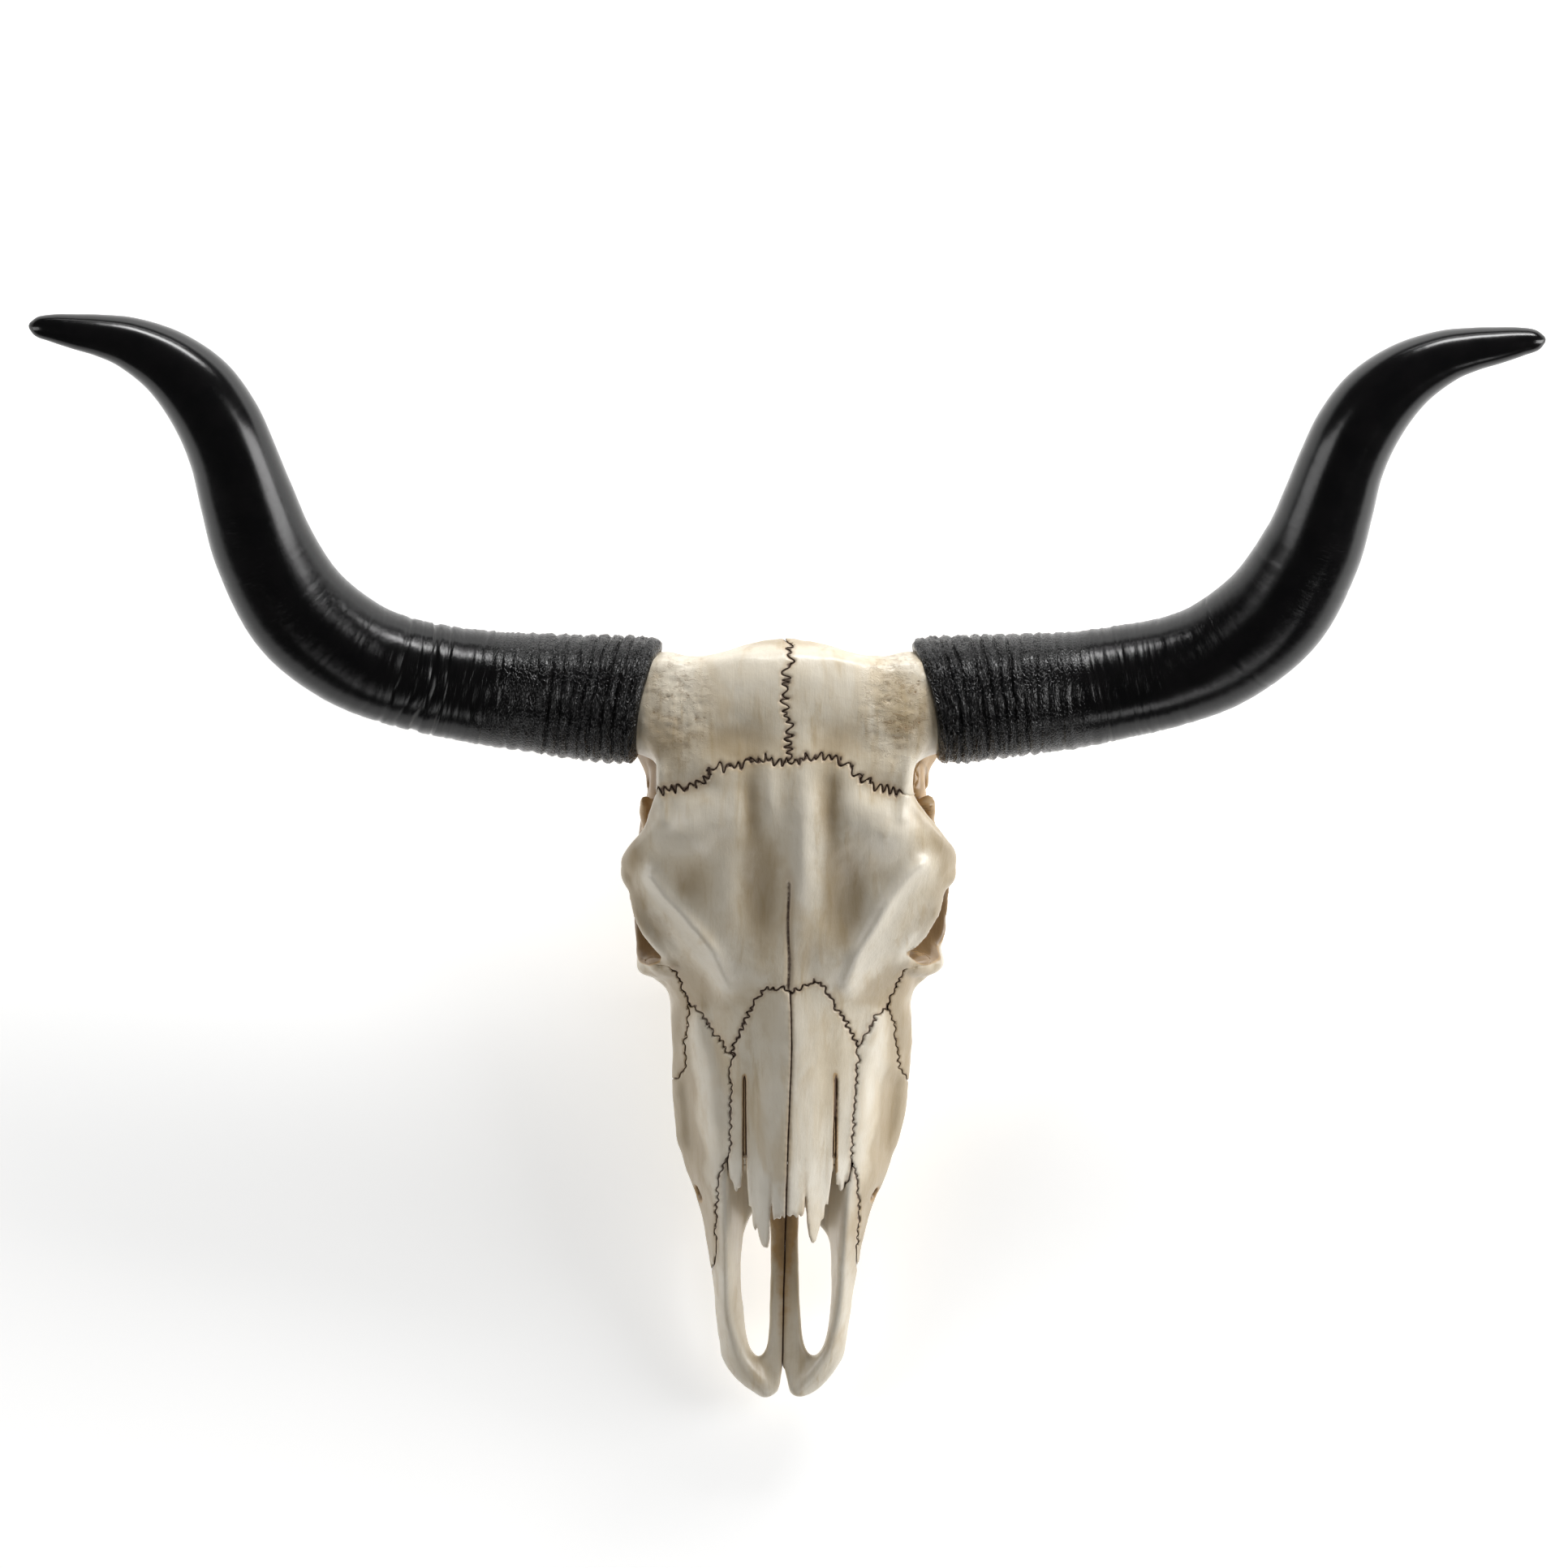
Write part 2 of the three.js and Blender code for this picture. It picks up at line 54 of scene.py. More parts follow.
# %% The cells
POLL_Y = 145.0
STEP = 1.37
X = np.arange(-117, 117 + STEP, STEP, dtype=np.float32)
U = np.arange(-9, 507 + STEP, STEP, dtype=np.float32)
Z = np.arange(-4, 228 + STEP, STEP, dtype=np.float32)
x3, u3, z3 = X[:, None, None], U[None, :, None], Z[None, None, :]
x2, u2 = X[:, None], U[None, :]
print("cells:", len(X), "x", len(U), "x", len(Z))


# %% Joining and carving with soft edges
def meet(a, b, soft=0.0):
    """What two shapes have in common, with its edges rounded over a soft distance."""
    if not soft:
        return np.maximum(a, b)
    blur = np.maximum(soft - np.abs(a - b), 0)
    return np.maximum(a, b) + blur * blur * (0.25 / soft)


def join(a, b, soft=0.0):
    return -meet(-a, -b, soft)


def carve(a, b, soft=0.0):
    return meet(a, -b, soft)


# %% [markdown]
# A measured profile is a short list of positions and values. A smooth line has to pass through
# them without swinging past, or the skull would get bumps nobody measured, so each slope is the
# harmonic mean of its neighbours.


# %% Smooth lines through measured points
def curve(pairs):
    at, value = np.array(pairs, float).T
    width = np.diff(at)
    slope = np.diff(value) / width
    tangent = np.concatenate([slope[:1], np.zeros(len(at) - 2), slope[-1:]])
    a, b = slope[:-1], slope[1:]
    same = a * b > 0
    tangent[1:-1][same] = (2 * a * b)[same] / (a + b)[same]

    def read(position):
        t = np.clip(position, at[0], at[-1])
        i = np.clip(np.searchsorted(at, t, side="right") - 1, 0, len(at) - 2)
        s = (t - at[i]) / width[i]
        start = value[i] * (2 * s**3 - 3 * s**2 + 1) + tangent[i] * width[i] * (s**3 - 2 * s**2 + s)
        end = value[i + 1] * (3 * s**2 - 2 * s**3) + tangent[i + 1] * width[i] * (s**3 - s**2)
        return (start + end).astype(np.float32)

    return read


drift = curve([(0, 0), (100, 0), (150, 1), (233, 2), (267, 3), (320, 1), (380, -1), (480, -3), (500, -3)])
half_width = curve([
    (2, 28), (8, 54), (14, 87), (24, 89), (40, 89), (65, 88), (85, 83.5), (96, 83.5), (103, 84.5),
    (113, 89), (123, 95), (130, 100), (139, 107.5), (147, 110.5), (152, 109), (158, 105.5), (166, 103),
    (173, 101.5), (181, 99.4), (188, 96.3), (195, 91), (201, 85.5), (206, 80.5), (212, 78), (221, 80),
    (232, 79), (239, 76.5), (251, 79), (268, 79), (272, 76.5), (311, 76.5), (327, 74.5), (335, 71),
    (343, 67.5), (351, 65), (359, 62.5), (367, 59), (375, 55), (383, 53), (407, 48.5), (439, 45),
    (471, 40), (487, 33.5), (499, 17),
])
mid_height = curve([
    (2, 200), (8, 210), (16, 215), (30, 218), (60, 215), (100, 207), (150, 192), (200, 172), (233, 159),
    (270, 147), (320, 133), (360, 122), (400, 109),
])
edge_height = curve([
    (2, 199), (25, 204), (60, 203), (85, 199), (113, 188), (130, 177), (147, 161), (180, 152),
    (205, 141), (220, 121), (240, 99), (290, 73), (345, 62), (385, 60), (425, 46), (470, 36), (499, 31),
])
lean = curve([
    (80, 0), (90, -1.6), (106, -1.4), (114, 0), (124, 2), (136, 1.8), (148, 0), (163, -0.8), (181, -1.8),
    (195, -2.9), (206, -3.2), (216, -1.5), (228, 0),
])
fall_power = curve([(0, 2.2), (80, 2.6), (150, 3.2), (205, 2.6), (240, 1.8), (345, 1.9)])
print("widest at the eyes:", 2 * float(half_width(147)), "mm")

# %% [markdown]
# ## The roof of the skull
# Seen from above, the skull is a relief, like a coin: one height for each point of the plan. The
# roof falls from the midline to the edge along a curve, flat on the forehead and steep on the
# face. Hollows and swellings are added as soft ovals: the dished forehead, the grooves for the
# veins above the eyes, and the ridges that run from the eyes down to the nose.


# %% Soft ovals
def oval(x, u, wide, long, turn=0.0):
    """1 in the middle of an oval in the plan and 0 far from it, turned by some degrees."""
    c, s = math.cos(math.radians(turn)), math.sin(math.radians(turn))
    a = ((x2 - x) * c + (u2 - u) * s) / wide
    b = ((u2 - u) * c - (x2 - x) * s) / long
    return np.exp(-(a * a) - b * b)


def ridge(points, wide):
    """1 along a line of points in the plan, and 0 away from it."""
    best = np.full((len(X), len(U)), 1e9, np.float32)
    for (x0, u0), (x1, u1) in zip(points[:-1], points[1:]):
        run = (x1 - x0) ** 2 + (u1 - u0) ** 2
        t = np.clip(((x2 - x0) * (x1 - x0) + (u2 - u0) * (u1 - u0)) / run, 0, 1)
        best = np.minimum(best, (x2 - x0 - t * (x1 - x0)) ** 2 + (u2 - u0 - t * (u1 - u0)) ** 2)
    return np.exp(-best / wide**2)


centred = x2 - drift(U)[None, :]
beside = np.abs(centred)
roof_width = curve([
    (2, 28), (8, 54), (14, 87), (60, 88.5), (85, 84), (96, 84), (113, 89), (130, 100), (147, 110),
    (175, 102), (206, 85), (232, 79.5), (270, 78), (311, 76.5), (343, 67.5), (383, 53), (439, 45),
    (499, 17),
])
share = np.minimum(beside / roof_width(U)[None, :], 1)
roof = mid_height(U) - (mid_height(U) - edge_height(U)) * share ** fall_power(U)

relief = 5.0 * oval(10.5, 130, 7.5, 44) + 2.6 * oval(-11, 102, 5.5, 18)
relief -= 5.0 * oval(28, 112, 6, 24) + 4.4 * oval(-24, 110, 6, 24)
relief -= 8.0 * oval(-19, 166, 14, 34) + 8.6 * oval(37, 168, 16, 30)
relief += 5.0 * oval(-70, 131, 20, 13) + 5.0 * oval(70, 129, 20, 13)
relief -= 4.6 * oval(-64, 163, 15, 18, 25) + 2.0 * oval(62, 158, 10, 12, -30)
brow_line_right = [(-90, 157), (-80, 170), (-72, 178), (-64, 188), (-57, 196), (-49, 206), (-40, 228)]
brow_line_left = [(88, 149), (82, 154), (74, 163), (67, 173), (58, 189), (48, 205), (40, 228)]
for points in (brow_line_right, brow_line_left):
    relief += 3.6 * ridge(points, 8) + 3.4 * ridge(points, 3.2)
relief -= 2.5 * oval(-84, 188, 8, 18, -35) + 1.5 * oval(86, 184, 8, 18, 35)
relief += (
    2.6 * ridge([(-84, 82), (-83, 100), (-82, 120)], 3.2)
    + 2.6 * ridge([(81, 80), (77, 96), (76, 118)], 3.2)
)
relief -= 3.0 * oval(-60, 98, 13, 9) + 3.0 * oval(60, 98, 12, 9)
relief -= 3.0 * oval(-66, 212, 8, 18, -30) + 3.0 * oval(68, 212, 8, 18, 30)
relief -= 3.5 * oval(-62, 8, 14, 16) + 3.5 * oval(62, 8, 14, 16)
relief += 2.0 * oval(0, 16, 26, 14) - 4.6 * oval(-32, 66, 24, 15) - 3.8 * oval(34, 65, 23, 15)
relief += 2.4 * oval(-48, 116, 22, 13) + 2.6 * oval(50, 114, 22, 13)
print("relief from", float(relief.min()), "to", float(relief.max()), "mm")

# %% [markdown]
# The face has its own relief. The nasal bones meet in a low ridge, the cheek has a long crest
# that the chewing muscle held on to, and a hollow lies below it.

# %% Relief of the face
relief += 2.6 * np.exp(-((beside / 9) ** 2)) * np.clip((U - 226) / 30, 0, 1)
relief -= (
    2.0 * np.exp(-(((beside - 24) / 7) ** 2)) * np.clip((U - 250) / 30, 0, 1)
    * np.clip((420 - U) / 40, 0, 1)
)
for side in (-1, 1):
    relief += 4.5 * ridge([(side * 62, 250), (side * 53, 280), (side * 50, 306), (side * 47, 334)], 7)
    relief -= 8.5 * ridge([(side * 70, 296), (side * 67, 318), (side * 62, 336)], 9.5)
    relief -= 3.0 * ridge([(side * 66, 246), (side * 72, 272)], 5)
relief += 1.5 * oval(-30, 222, 10, 10) - 2.0 * oval(14, 214, 10, 16)
roof = roof + relief
print("ridge of the nose:", round(float(roof[len(X) // 2].max()), 1), "mm high at most")

# %% [markdown]
# In front of the nasal bones the nose is open. The roof becomes a trough: a floor in the middle
# and a bar at each side, which is the rim of the incisive bone.

# %% The open nose
NOSE_OPENS = 343
bar_x = curve([(343, 41), (380, 40), (440, 38), (470, 31), (499, 12)])(U)
bar_z = curve([(343, 102), (365, 96), (400, 80), (440, 58), (470, 47), (499, 36)])(U)
floor_z = 46 - 0.07 * np.maximum(U - NOSE_OPENS, 0)
inner = np.clip((beside - (bar_x - 11)) / 11, 0, 1)
outer = np.clip((beside - bar_x) / np.maximum(half_width(U) - bar_x, 4), 0, 1)
trough = floor_z + (bar_z - floor_z) * inner**1.5 * (3 - 2 * inner)
trough = np.where(beside > bar_x, bar_z - (bar_z - edge_height(U)) * outer**1.7, trough)
slow = np.clip((beside - 37) / 5, 0, 1)
opened = np.clip((U - 340 + 24 * slow) / (10 + 34 * slow), 0, 1)
opened = opened * opened * (3 - 2 * opened)
top = (roof * (1 - opened) + trough * opened).astype(np.float32)
print("bars of the nose rise to", float(bar_z.max()), "mm")

# %% [markdown]
# ## Sides, base and ends
# Three more reliefs close the head. The sides are a width for each height, the base is a height
# for each point of the plan, and the nape is a depth for each point seen from behind. The table
# below is read from cross-sections: each row is a slice, with points from the edge of the roof
# down to the middle of the base.

# %% Slices through the head
slices = np.array([
    [2, 89, 176, 98, 138, 95, 112, 50, 84, 24, 68, 62],
    [24, 90, 176, 99, 138, 96, 112, 52, 82, 24, 64, 62],
    [40, 90, 172, 101, 136, 104, 112, 62, 74, 25, 56, 54],
    [65, 88, 172, 99, 138, 103, 112, 60, 72, 24, 54, 52],
    [82, 80, 172, 72, 142, 96, 112, 50, 78, 22, 60, 57],
    [98, 76, 170, 60, 142, 66, 112, 44, 80, 20, 62, 60],
    [120, 88, 162, 60, 138, 58, 110, 42, 84, 20, 68, 65],
    [145, 108, 150, 104, 128, 92, 104, 44, 86, 20, 74, 71],
    [170, 102, 136, 101, 112, 97, 92, 46, 84, 20, 78, 76],
    [200, 97, 124, 98, 108, 95, 88, 48, 76, 20, 72, 70],
    [214, 96, 112, 95, 98, 88, 84, 52, 66, 24, 62, 60],
    [228, 80, 92, 80, 70, 74, 34, 47, 28, 36, 44, 44],
    [236, 78, 84, 78, 58, 72, 28, 47, 27, 37, 40, 39],
    [300, 76, 64, 74, 46, 70, 28, 46, 27, 37, 38, 39.5],
    [345, 67, 56, 64, 44, 60, 29, 44, 28, 35, 38, 39.5],
    [368, 58, 62, 55, 46, 52, 34, 42, 33, 30, 36, 37.5],
    [385, 52, 66, 51, 50, 48, 34, 40, 32, 28, 35, 36],
    [425, 45.5, 50, 44, 40, 42, 31, 36, 29, 26, 32, 33],
    [470, 39, 38, 38, 33, 36, 28, 30, 26, 22, 27, 28],
    [499, 17, 31, 16, 29, 14, 28, 10, 27, 6, 27, 27],
])
lines = [curve(np.stack([slices[:, 0], slices[:, k]], 1))(U) for k in range(1, 12)]
width_at = np.empty((len(U), len(Z)), np.float32)
base = np.empty((len(X), len(U)), np.float32)
for j in range(len(U)):
    sx = [lines[6][j], lines[4][j], lines[2][j], lines[0][j], half_width(U[j])]
    sz = [lines[7][j], lines[5][j], lines[3][j], lines[1][j], edge_height(U[j])]
    width_at[j] = np.interp(Z, np.maximum.accumulate(sz), sx)
    bx, bz = [0, lines[8][j], lines[6][j]], [lines[10][j], lines[9][j], lines[7][j]]
    base[:, j] = np.interp(beside[:, j], bx, bz)
print("slices:", len(slices))


# %% Smoothing a relief
def smooth(relief, radius):
    """A soft blur of a relief, a few passes of a running mean along each of its two sides."""
    reach = max(int(round(radius / STEP)), 1)
    for axis in (0, 1):
        for _ in range(3):
            padded = np.pad(relief, [(reach + 1, reach) if k == axis else (0, 0) for k in (0, 1)], "edge")
            total = np.cumsum(padded, axis, dtype=np.float64)
            ahead = np.take(total, range(2 * reach + 1, total.shape[axis]), axis)
            behind = np.take(total, range(0, total.shape[axis] - 2 * reach - 1), axis)
            relief = ((ahead - behind) / (2 * reach + 1)).astype(np.float32)
    return relief


def sloped(relief):
    """How much longer a slope is than its plan, which turns heights into true distances."""
    a, b = np.gradient(relief, STEP)
    return np.minimum(np.sqrt(1 + a * a + b * b), 4).astype(np.float32)


width_at, base, top = smooth(width_at, 2.0), smooth(base, 2.0), smooth(top, 1.0)
cushion = curve([
    (0, 1), (100, 2), (150, 1.2), (200, 1), (340, 1.5), (375, 3.0), (460, 3.2), (480, 5.5), (499, 9),
])
width_at += cushion(U)[:, None]
crest = curve([
    (0, 0.4), (13, 0.6), (27, 3.4), (43, 8.4), (56, 12), (66, 13.4), (80, 10.5), (92, 12), (117, 14),
])(np.abs(X))
nape_lean = curve([(50, 30), (70, 22), (90, 17), (120, 12), (158, 7), (190, 2), (206, 0)])(Z)
nape = crest[:, None] + nape_lean[None, :]
nape -= 1.0
nape += 5 * np.exp(-(((np.abs(X)[:, None] - 42) / 20) ** 2) - ((Z[None, :] - 130) / 30) ** 2)
nose_end = 502.5 - 0.026 * (np.abs(X + 3) - 15) ** 2
print("nape leans over", float(nape.max() - nape.min()), "mm")

# %% [markdown]
# The block of bone is what all five reliefs have in common. Rounding each meeting by a few
# millimetres gives edges like worn bone.

# %% The block of bone
body = (z3 - top[:, :, None]) / sloped(top)[:, :, None]
middle = (drift(U) + lean(U))[None, :, None]
body = meet(body, (np.abs(x3 - middle) - width_at[None]) / sloped(width_at)[None], 7.0)
body = meet(body, (base[:, :, None] - z3) / sloped(base)[:, :, None], 6.0)
body = meet(body, (nape[:, None, :] - u3) / sloped(nape)[:, None, :], 12.0)
body = meet(body, np.broadcast_to(u2 - nose_end[:, None], base.shape)[:, :, None], 7.0)
print("block of bone:", round(float((body < 0).sum() * STEP**3 / 1e6), 2), "litres")

# %% [markdown]
# ## Bars, balls and holes
# The rest of the head is added to the block as bars and balls and cut from it as holes: the rims
# of the eye sockets, the arches of the cheek, the joints for the neck and the hollows where the
# jaw muscles lay. Each touches only a small part of the block, so we work in a box around it.


# %% Bars and balls
def near(low, high):
    """The cells inside a box, as three slices of the block."""
    return tuple(
        slice(max(int(np.searchsorted(axis, a)) - 1, 0), int(np.searchsorted(axis, b)) + 1)
        for axis, a, b in zip((X, U, Z), low, high)
    )


def ball(centre, radii, turn=0.0, pad=14.0):
    """An egg shape, turned in the plan by some degrees. Returns its box of cells and its field."""
    reach = [max(radii[:2]) + pad] * 2 + [radii[2] + pad]
    box = near([c - r for c, r in zip(centre, reach)], [c + r for c, r in zip(centre, reach)])
    c, s = math.cos(math.radians(turn)), math.sin(math.radians(turn))
    dx, du, dz = (
        X[box[0]][:, None, None] - centre[0], U[box[1]][None, :, None] - centre[1], Z[box[2]] - centre[2]
    )
    a, b, h = (dx * c + du * s) / radii[0], (du * c - dx * s) / radii[1], dz[None, None, :] / radii[2]
    length = np.sqrt(a * a + b * b + h * h)
    steep = np.sqrt((a / radii[0]) ** 2 + (b / radii[1]) ** 2 + (h / radii[2]) ** 2)
    return box, (length * (length - 1) / np.maximum(steep, 1e-4)).astype(np.float32)


def bar(points, squeeze=(1.0, 1.0, 1.0), pad=14.0):
    """A bar through points of x, u, z and radius. squeeze makes it flat along an axis."""
    points = [np.array(p, float) for p in points]
    radius = max(p[3] for p in points)
    low = np.min([p[:3] for p in points], 0) - radius * np.array(squeeze) - pad
    high = np.max([p[:3] for p in points], 0) + radius * np.array(squeeze) + pad
    box = near(low, high)
    cells = [
        X[box[0]][:, None, None] / squeeze[0], U[box[1]][None, :, None] / squeeze[1],
        Z[box[2]][None, None, :] / squeeze[2],
    ]
    best = None
    for a, b in zip(points[:-1], points[1:]):
        start, run = a[:3] / squeeze, (b[:3] - a[:3]) / squeeze
        t = sum((c - s) * r for c, s, r in zip(cells, start, run)) / max(float(run @ run), 1e-6)
        t = np.clip(t, 0, 1)
        away = sum((c - s - t * r) ** 2 for c, s, r in zip(cells, start, run))
        found = np.sqrt(away) - (a[3] + (b[3] - a[3]) * t)
        best = found if best is None else np.minimum(best, found)
    return box, (best * min(squeeze)).astype(np.float32)


def add(shape, soft=4.0, stain_and_shade=None):
    """Join a shape to the head. Its stain and painted shade, if it has them, replace what lay there."""
    box, field = shape
    body[box] = join(body[box], field, soft)
    if stain_and_shade is not None:
        dirt_and_shade[box] = np.where(field < 1.5, np.maximum(dirt_and_shade[box], stain_and_shade - np.maximum(field, 0)), dirt_and_shade[box])


def cut(shape, soft=3.0, roofed=0.0):
    """Carve a hollow, with stain and painted shade on its walls. A roofed one leaves some millimetres of
    bone under the roof.
    """
    box, field = shape
    if roofed:
        field = np.maximum(field, z3[:, :, box[2]] - (top[box[0], box[1]] - roofed)[:, :, None])
    body[box] = carve(body[box], field, soft)
    dirt_and_shade[box] = np.minimum(dirt_and_shade[box], field)


# For each cell, how far it lies from stain and painted shade. Carved walls get low numbers, which the
# finish paints brown; 50 is far from any.
dirt_and_shade = np.full(body.shape, 50, np.float32)


def both(points):
    """The same points on the right and on the left of the wandering midline."""
    return [[(side * p[0] + float(drift(p[1])), *p[1:]) for p in points] for side in (-1, 1)]


print("cells without dirt:", dirt_and_shade.size)

# %% [markdown]
# The nape carries two rounded condyles, which the first neck bone rocked on, on either side of
# the hole for the spinal cord. Outside them a blade of bone reaches down on each side, and the
# skull rests on its tip.

# %% The back of the skull
for (place,) in both([(29, 27, 74)]):
    add(ball(place, (17, 21, 25), 20 if place[0] < 0 else -20), 6)
for (place,) in both([(44, 84, 62)]):
    add(ball(place, (13, 18, 24)), 6)
for line in both([
    (64, 42, 108, 17), (61, 46, 78, 14.5), (57.5, 50, 46, 11), (55.5, 53, 20, 8), (55, 54, 7.2, 6.3),
]):
    add(bar(line, (0.62, 1.5, 1)), 8)
for line in both([(12, 34, 60, 13), (10, 90, 62, 14), (8, 150, 74, 12), (8, 200, 78, 9)]):
    add(bar(line), 10)
add(bar([(0, 17, 194, 8), (0, 18, 160, 7), (0, 21, 128, 6)]), 14)
cut(bar([(0, -8, 88, 16), (0, 22, 87, 16.5), (0, 46, 88, 14)], (1.08, 1, 0.95)), 4)
for line in both([(24, 52, 54, 3), (30, 60, 72, 3)]):
    cut(bar(line), 2)
print("back of the skull reaches u =", round(float(U[(body < 0).any((0, 2)).argmax()]), 1), "mm")

# %% [markdown]
# Each horn grows over a core of bone, which swells out of the side of the poll.

# %% Roots of the horns
horn_core = [(52, 46, 176, 27), (80, 45, 173, 32.5), (104, 44, 172, 31)]
for line in both(horn_core):
    add(bar(line), 16)
print("horn cores up to", 2 * max(r for _, _, _, r in horn_core), "mm thick")

# %% [markdown]
# The eye socket of cattle is a full ring of bone. We lay the ring as a bar through the points of
# its rim, then scoop the socket out inside it, so that the rim stays thin and sharp like a shell.

# %% Eye sockets and cheek arches
brow = [
    (73, 212, 130, 4), (81.5, 202, 137, 4), (89.5, 192, 143, 4.2), (94.8, 180, 147, 4.5), (97, 168, 150, 5),
    (100, 156, 152, 5.5),
]
outer_rim = [
    (103, 156, 152, 6), (103, 149, 138, 6), (101, 152, 122, 5.5), (100, 160, 108, 5), (99, 175, 101, 4.5),
    (97.5, 190, 98, 4.5), (94, 203, 97, 4.5), (93.5, 213, 99, 5), (88, 218, 108, 4.5), (81, 216, 120, 4),
    (77, 212, 130, 4),
]
for line in both(brow):
    add(bar([(x + float(lean(u)), u, z, r) for x, u, z, r in line]), 5)
for line in both(outer_rim):
    add(bar([(x + 1.4 * (z < 125), u, z, r) for x, u, z, r in line]), 5)
arch = [
    (90, 64, 112, 8), (89.5, 88, 111, 6.2), (90, 106, 110, 6), (94, 126, 107, 6), (98, 150, 104, 6),
    (98, 172, 99, 6),
]
for line in both(arch):
    add(bar(line, (0.62, 1, 1.5)), 6)
crest_line = [
    (92, 211, 99, 5.5), (86, 220, 96, 5.5), (77, 227, 88, 6), (71, 237, 78, 7), (72.5, 251, 73, 7),
    (71, 272, 69, 7), (71, 300, 66, 6), (67, 330, 60, 4),
]
for line in both(crest_line):
    add(bar(line, (0.7, 1, 1)), 6)
print("rim of", len(brow) + len(outer_rim), "points, arch of", len(arch))

# %% Hollows of the eye and the temple
for (place,) in both([(98, 184, 128)]):
    cut(ball(place, (44, 30.5, 29), 8 if place[0] > 0 else -8), 3, 5.5)
# A box round the eye sockets gets more painted shade, with some stain, so the sockets read dark under the
# brow.
box = near((-112, 150, 88), (112, 214, 128))
dirt_and_shade[box] -= 1.5
for (place,) in both([(62, 172, 122)]):
    cut(ball(place, (22, 22, 20)), 8, 9)
for (place,) in both([(86, 110, 140)]):
    cut(ball(place, (22, 30, 36)), 4, 7)
for line in both([(74, 92, 92, 13), (75, 120, 86, 15), (76, 150, 82, 14), (76, 180, 78, 12)]):
    cut(bar(line, (1, 1, 2.0)), 8)
for line in both([(60, 205, 60, 12), (58, 190, 66, 14)]):
    cut(bar(line, (1, 1, 1.6)), 8)
for (place,) in both([(86, 78, 97)]):
    cut(ball(place, (20, 7, 9)), 4)
for (place,) in both([(96, 64, 99)]):
    cut(ball(place, (16, 12, 6)), 4)
# Bars along the wall of the temple, browner on the right side (x below 0): stain and painted shade.
for line in both([
    (81, 66, 120, 9), (82, 82, 122, 9), (82, 98, 120, 10), (84, 112, 112, 10), (86, 126, 104, 8),
]):
    add(bar(line, (0.9, 1, 1.2)), 5, 0.4 if line[0][0] < 0 else 1.2)
print("hollows cut on each side:", 7)

# %% The rim of the temple and the eye
rim_lumps = [
    (-82.5, 214.5, 119, (7, 4.5, 7)), (84, 212.5, 117, (7.5, 5.5, 7)), (97, 213, 103, (4.5, 3.5, 5)),
    (-93, 216, 102, (4, 4, 5)),
]
for x, u, z, radii in rim_lumps:
    add(ball((x, u, z), radii), 8, 2.4)
print("bone left:", round(float((body < 0).sum() * STEP**3 / 1e6), 2), "litres")

# %% Stain and painted shade in the temple
box = near((-100, 66, 60), (100, 128, 152))
# The outer walls of the temple under each horn turn tan and brown: stain and painted shade, darker on the
# right side (x below 0).
temple_stain_and_shade = (
    1.2 - 0.8 * (x3 < 0) + np.maximum(0, 1.6 - (np.abs(x3) - 83)) + np.maximum(0, z3 - 138)
    + np.maximum(0, 70 - u3)
)
dirt_and_shade[box] = np.minimum(dirt_and_shade[box], temple_stain_and_shade[box])
# A knob at the rim of each temple gets a paler tan: painted light where the horn shades it.
for line in both([
    (88, 109, 131, 3.6), (92.6, 107.5, 131, 4.2), (93.5, 114, 126, 4), (92.5, 121, 119, 4),
    (91, 130, 110, 4),
]):
    add(bar(line), 2.5, 1.7)
print("cells with dirt:", int((dirt_and_shade < 3).sum()))

# %% [markdown]
# Under the eyes, two thin wings of bone hang beside the inner nostrils, and the hard palate runs
# forward between the tooth rows. The nose passage is a tunnel that widens to the open nose. The
# front of the palate has two long slots, which show the ground through them.

# %% Palate, wings and nose
for line in both([(24, 184, 76, 4), (26, 200, 58, 3.6), (30, 220, 50, 3.4), (35, 240, 46, 4)]):
    add(bar(line, (0.8, 1, 3.2)), 5)
wide = curve([(280, 4), (300, 22), (330, 31), (350, 31), (372, 30)])(U)
ceiling = top - 9.5
tunnel = np.maximum(47.5 - z3, z3 - ceiling[:, :, None])
passage = meet(np.abs(x3 - drift(U)[None, :, None]) - wide[None, :, None], tunnel, 8)
passage = meet(passage, np.abs(u3 - 330) - 46, 6)
body = carve(body, passage, 2)
# The walls of the nose passage and of the door behind it get stain and painted shade.
dirt_and_shade = np.minimum(dirt_and_shade, passage + 1.5)
back_door = meet(np.abs(x3 - drift(U)[None, :, None]) - 19, np.maximum(52 - z3, z3 - 80), 10)
body = carve(body, meet(back_door, np.abs(u3 - 252) - 40, 8), 3)
dirt_and_shade = np.minimum(dirt_and_shade, np.maximum(back_door, np.abs(u3 - 252) - 40))
for line in both([(0.6, 300, 62, 1.6), (0.6, 330, 58, 1.6), (0.6, 372, 50, 1.6)]):
    add(bar(line, (0.8, 1, 7)), 3)
for line in both([(69, 375, 73, 3.2), (57.5, 367, 62, 3.4), (46, 345, 63, 5)]):
    cut(bar(line), 3)
print("bone now:", round(float((body < 0).sum() * STEP**3 / 1e6), 2), "litres")

# %% [markdown]
# ## Sutures
# The bones of a skull meet in sutures, seams that fold back and forth so that the plates lock
# like a jigsaw. We draw each seam once, as a zigzag in the plan with a seeded random step, and
# both neighbours use that same line, so they always fit.

# %% A zigzag seam
dice = np.random.default_rng(7)


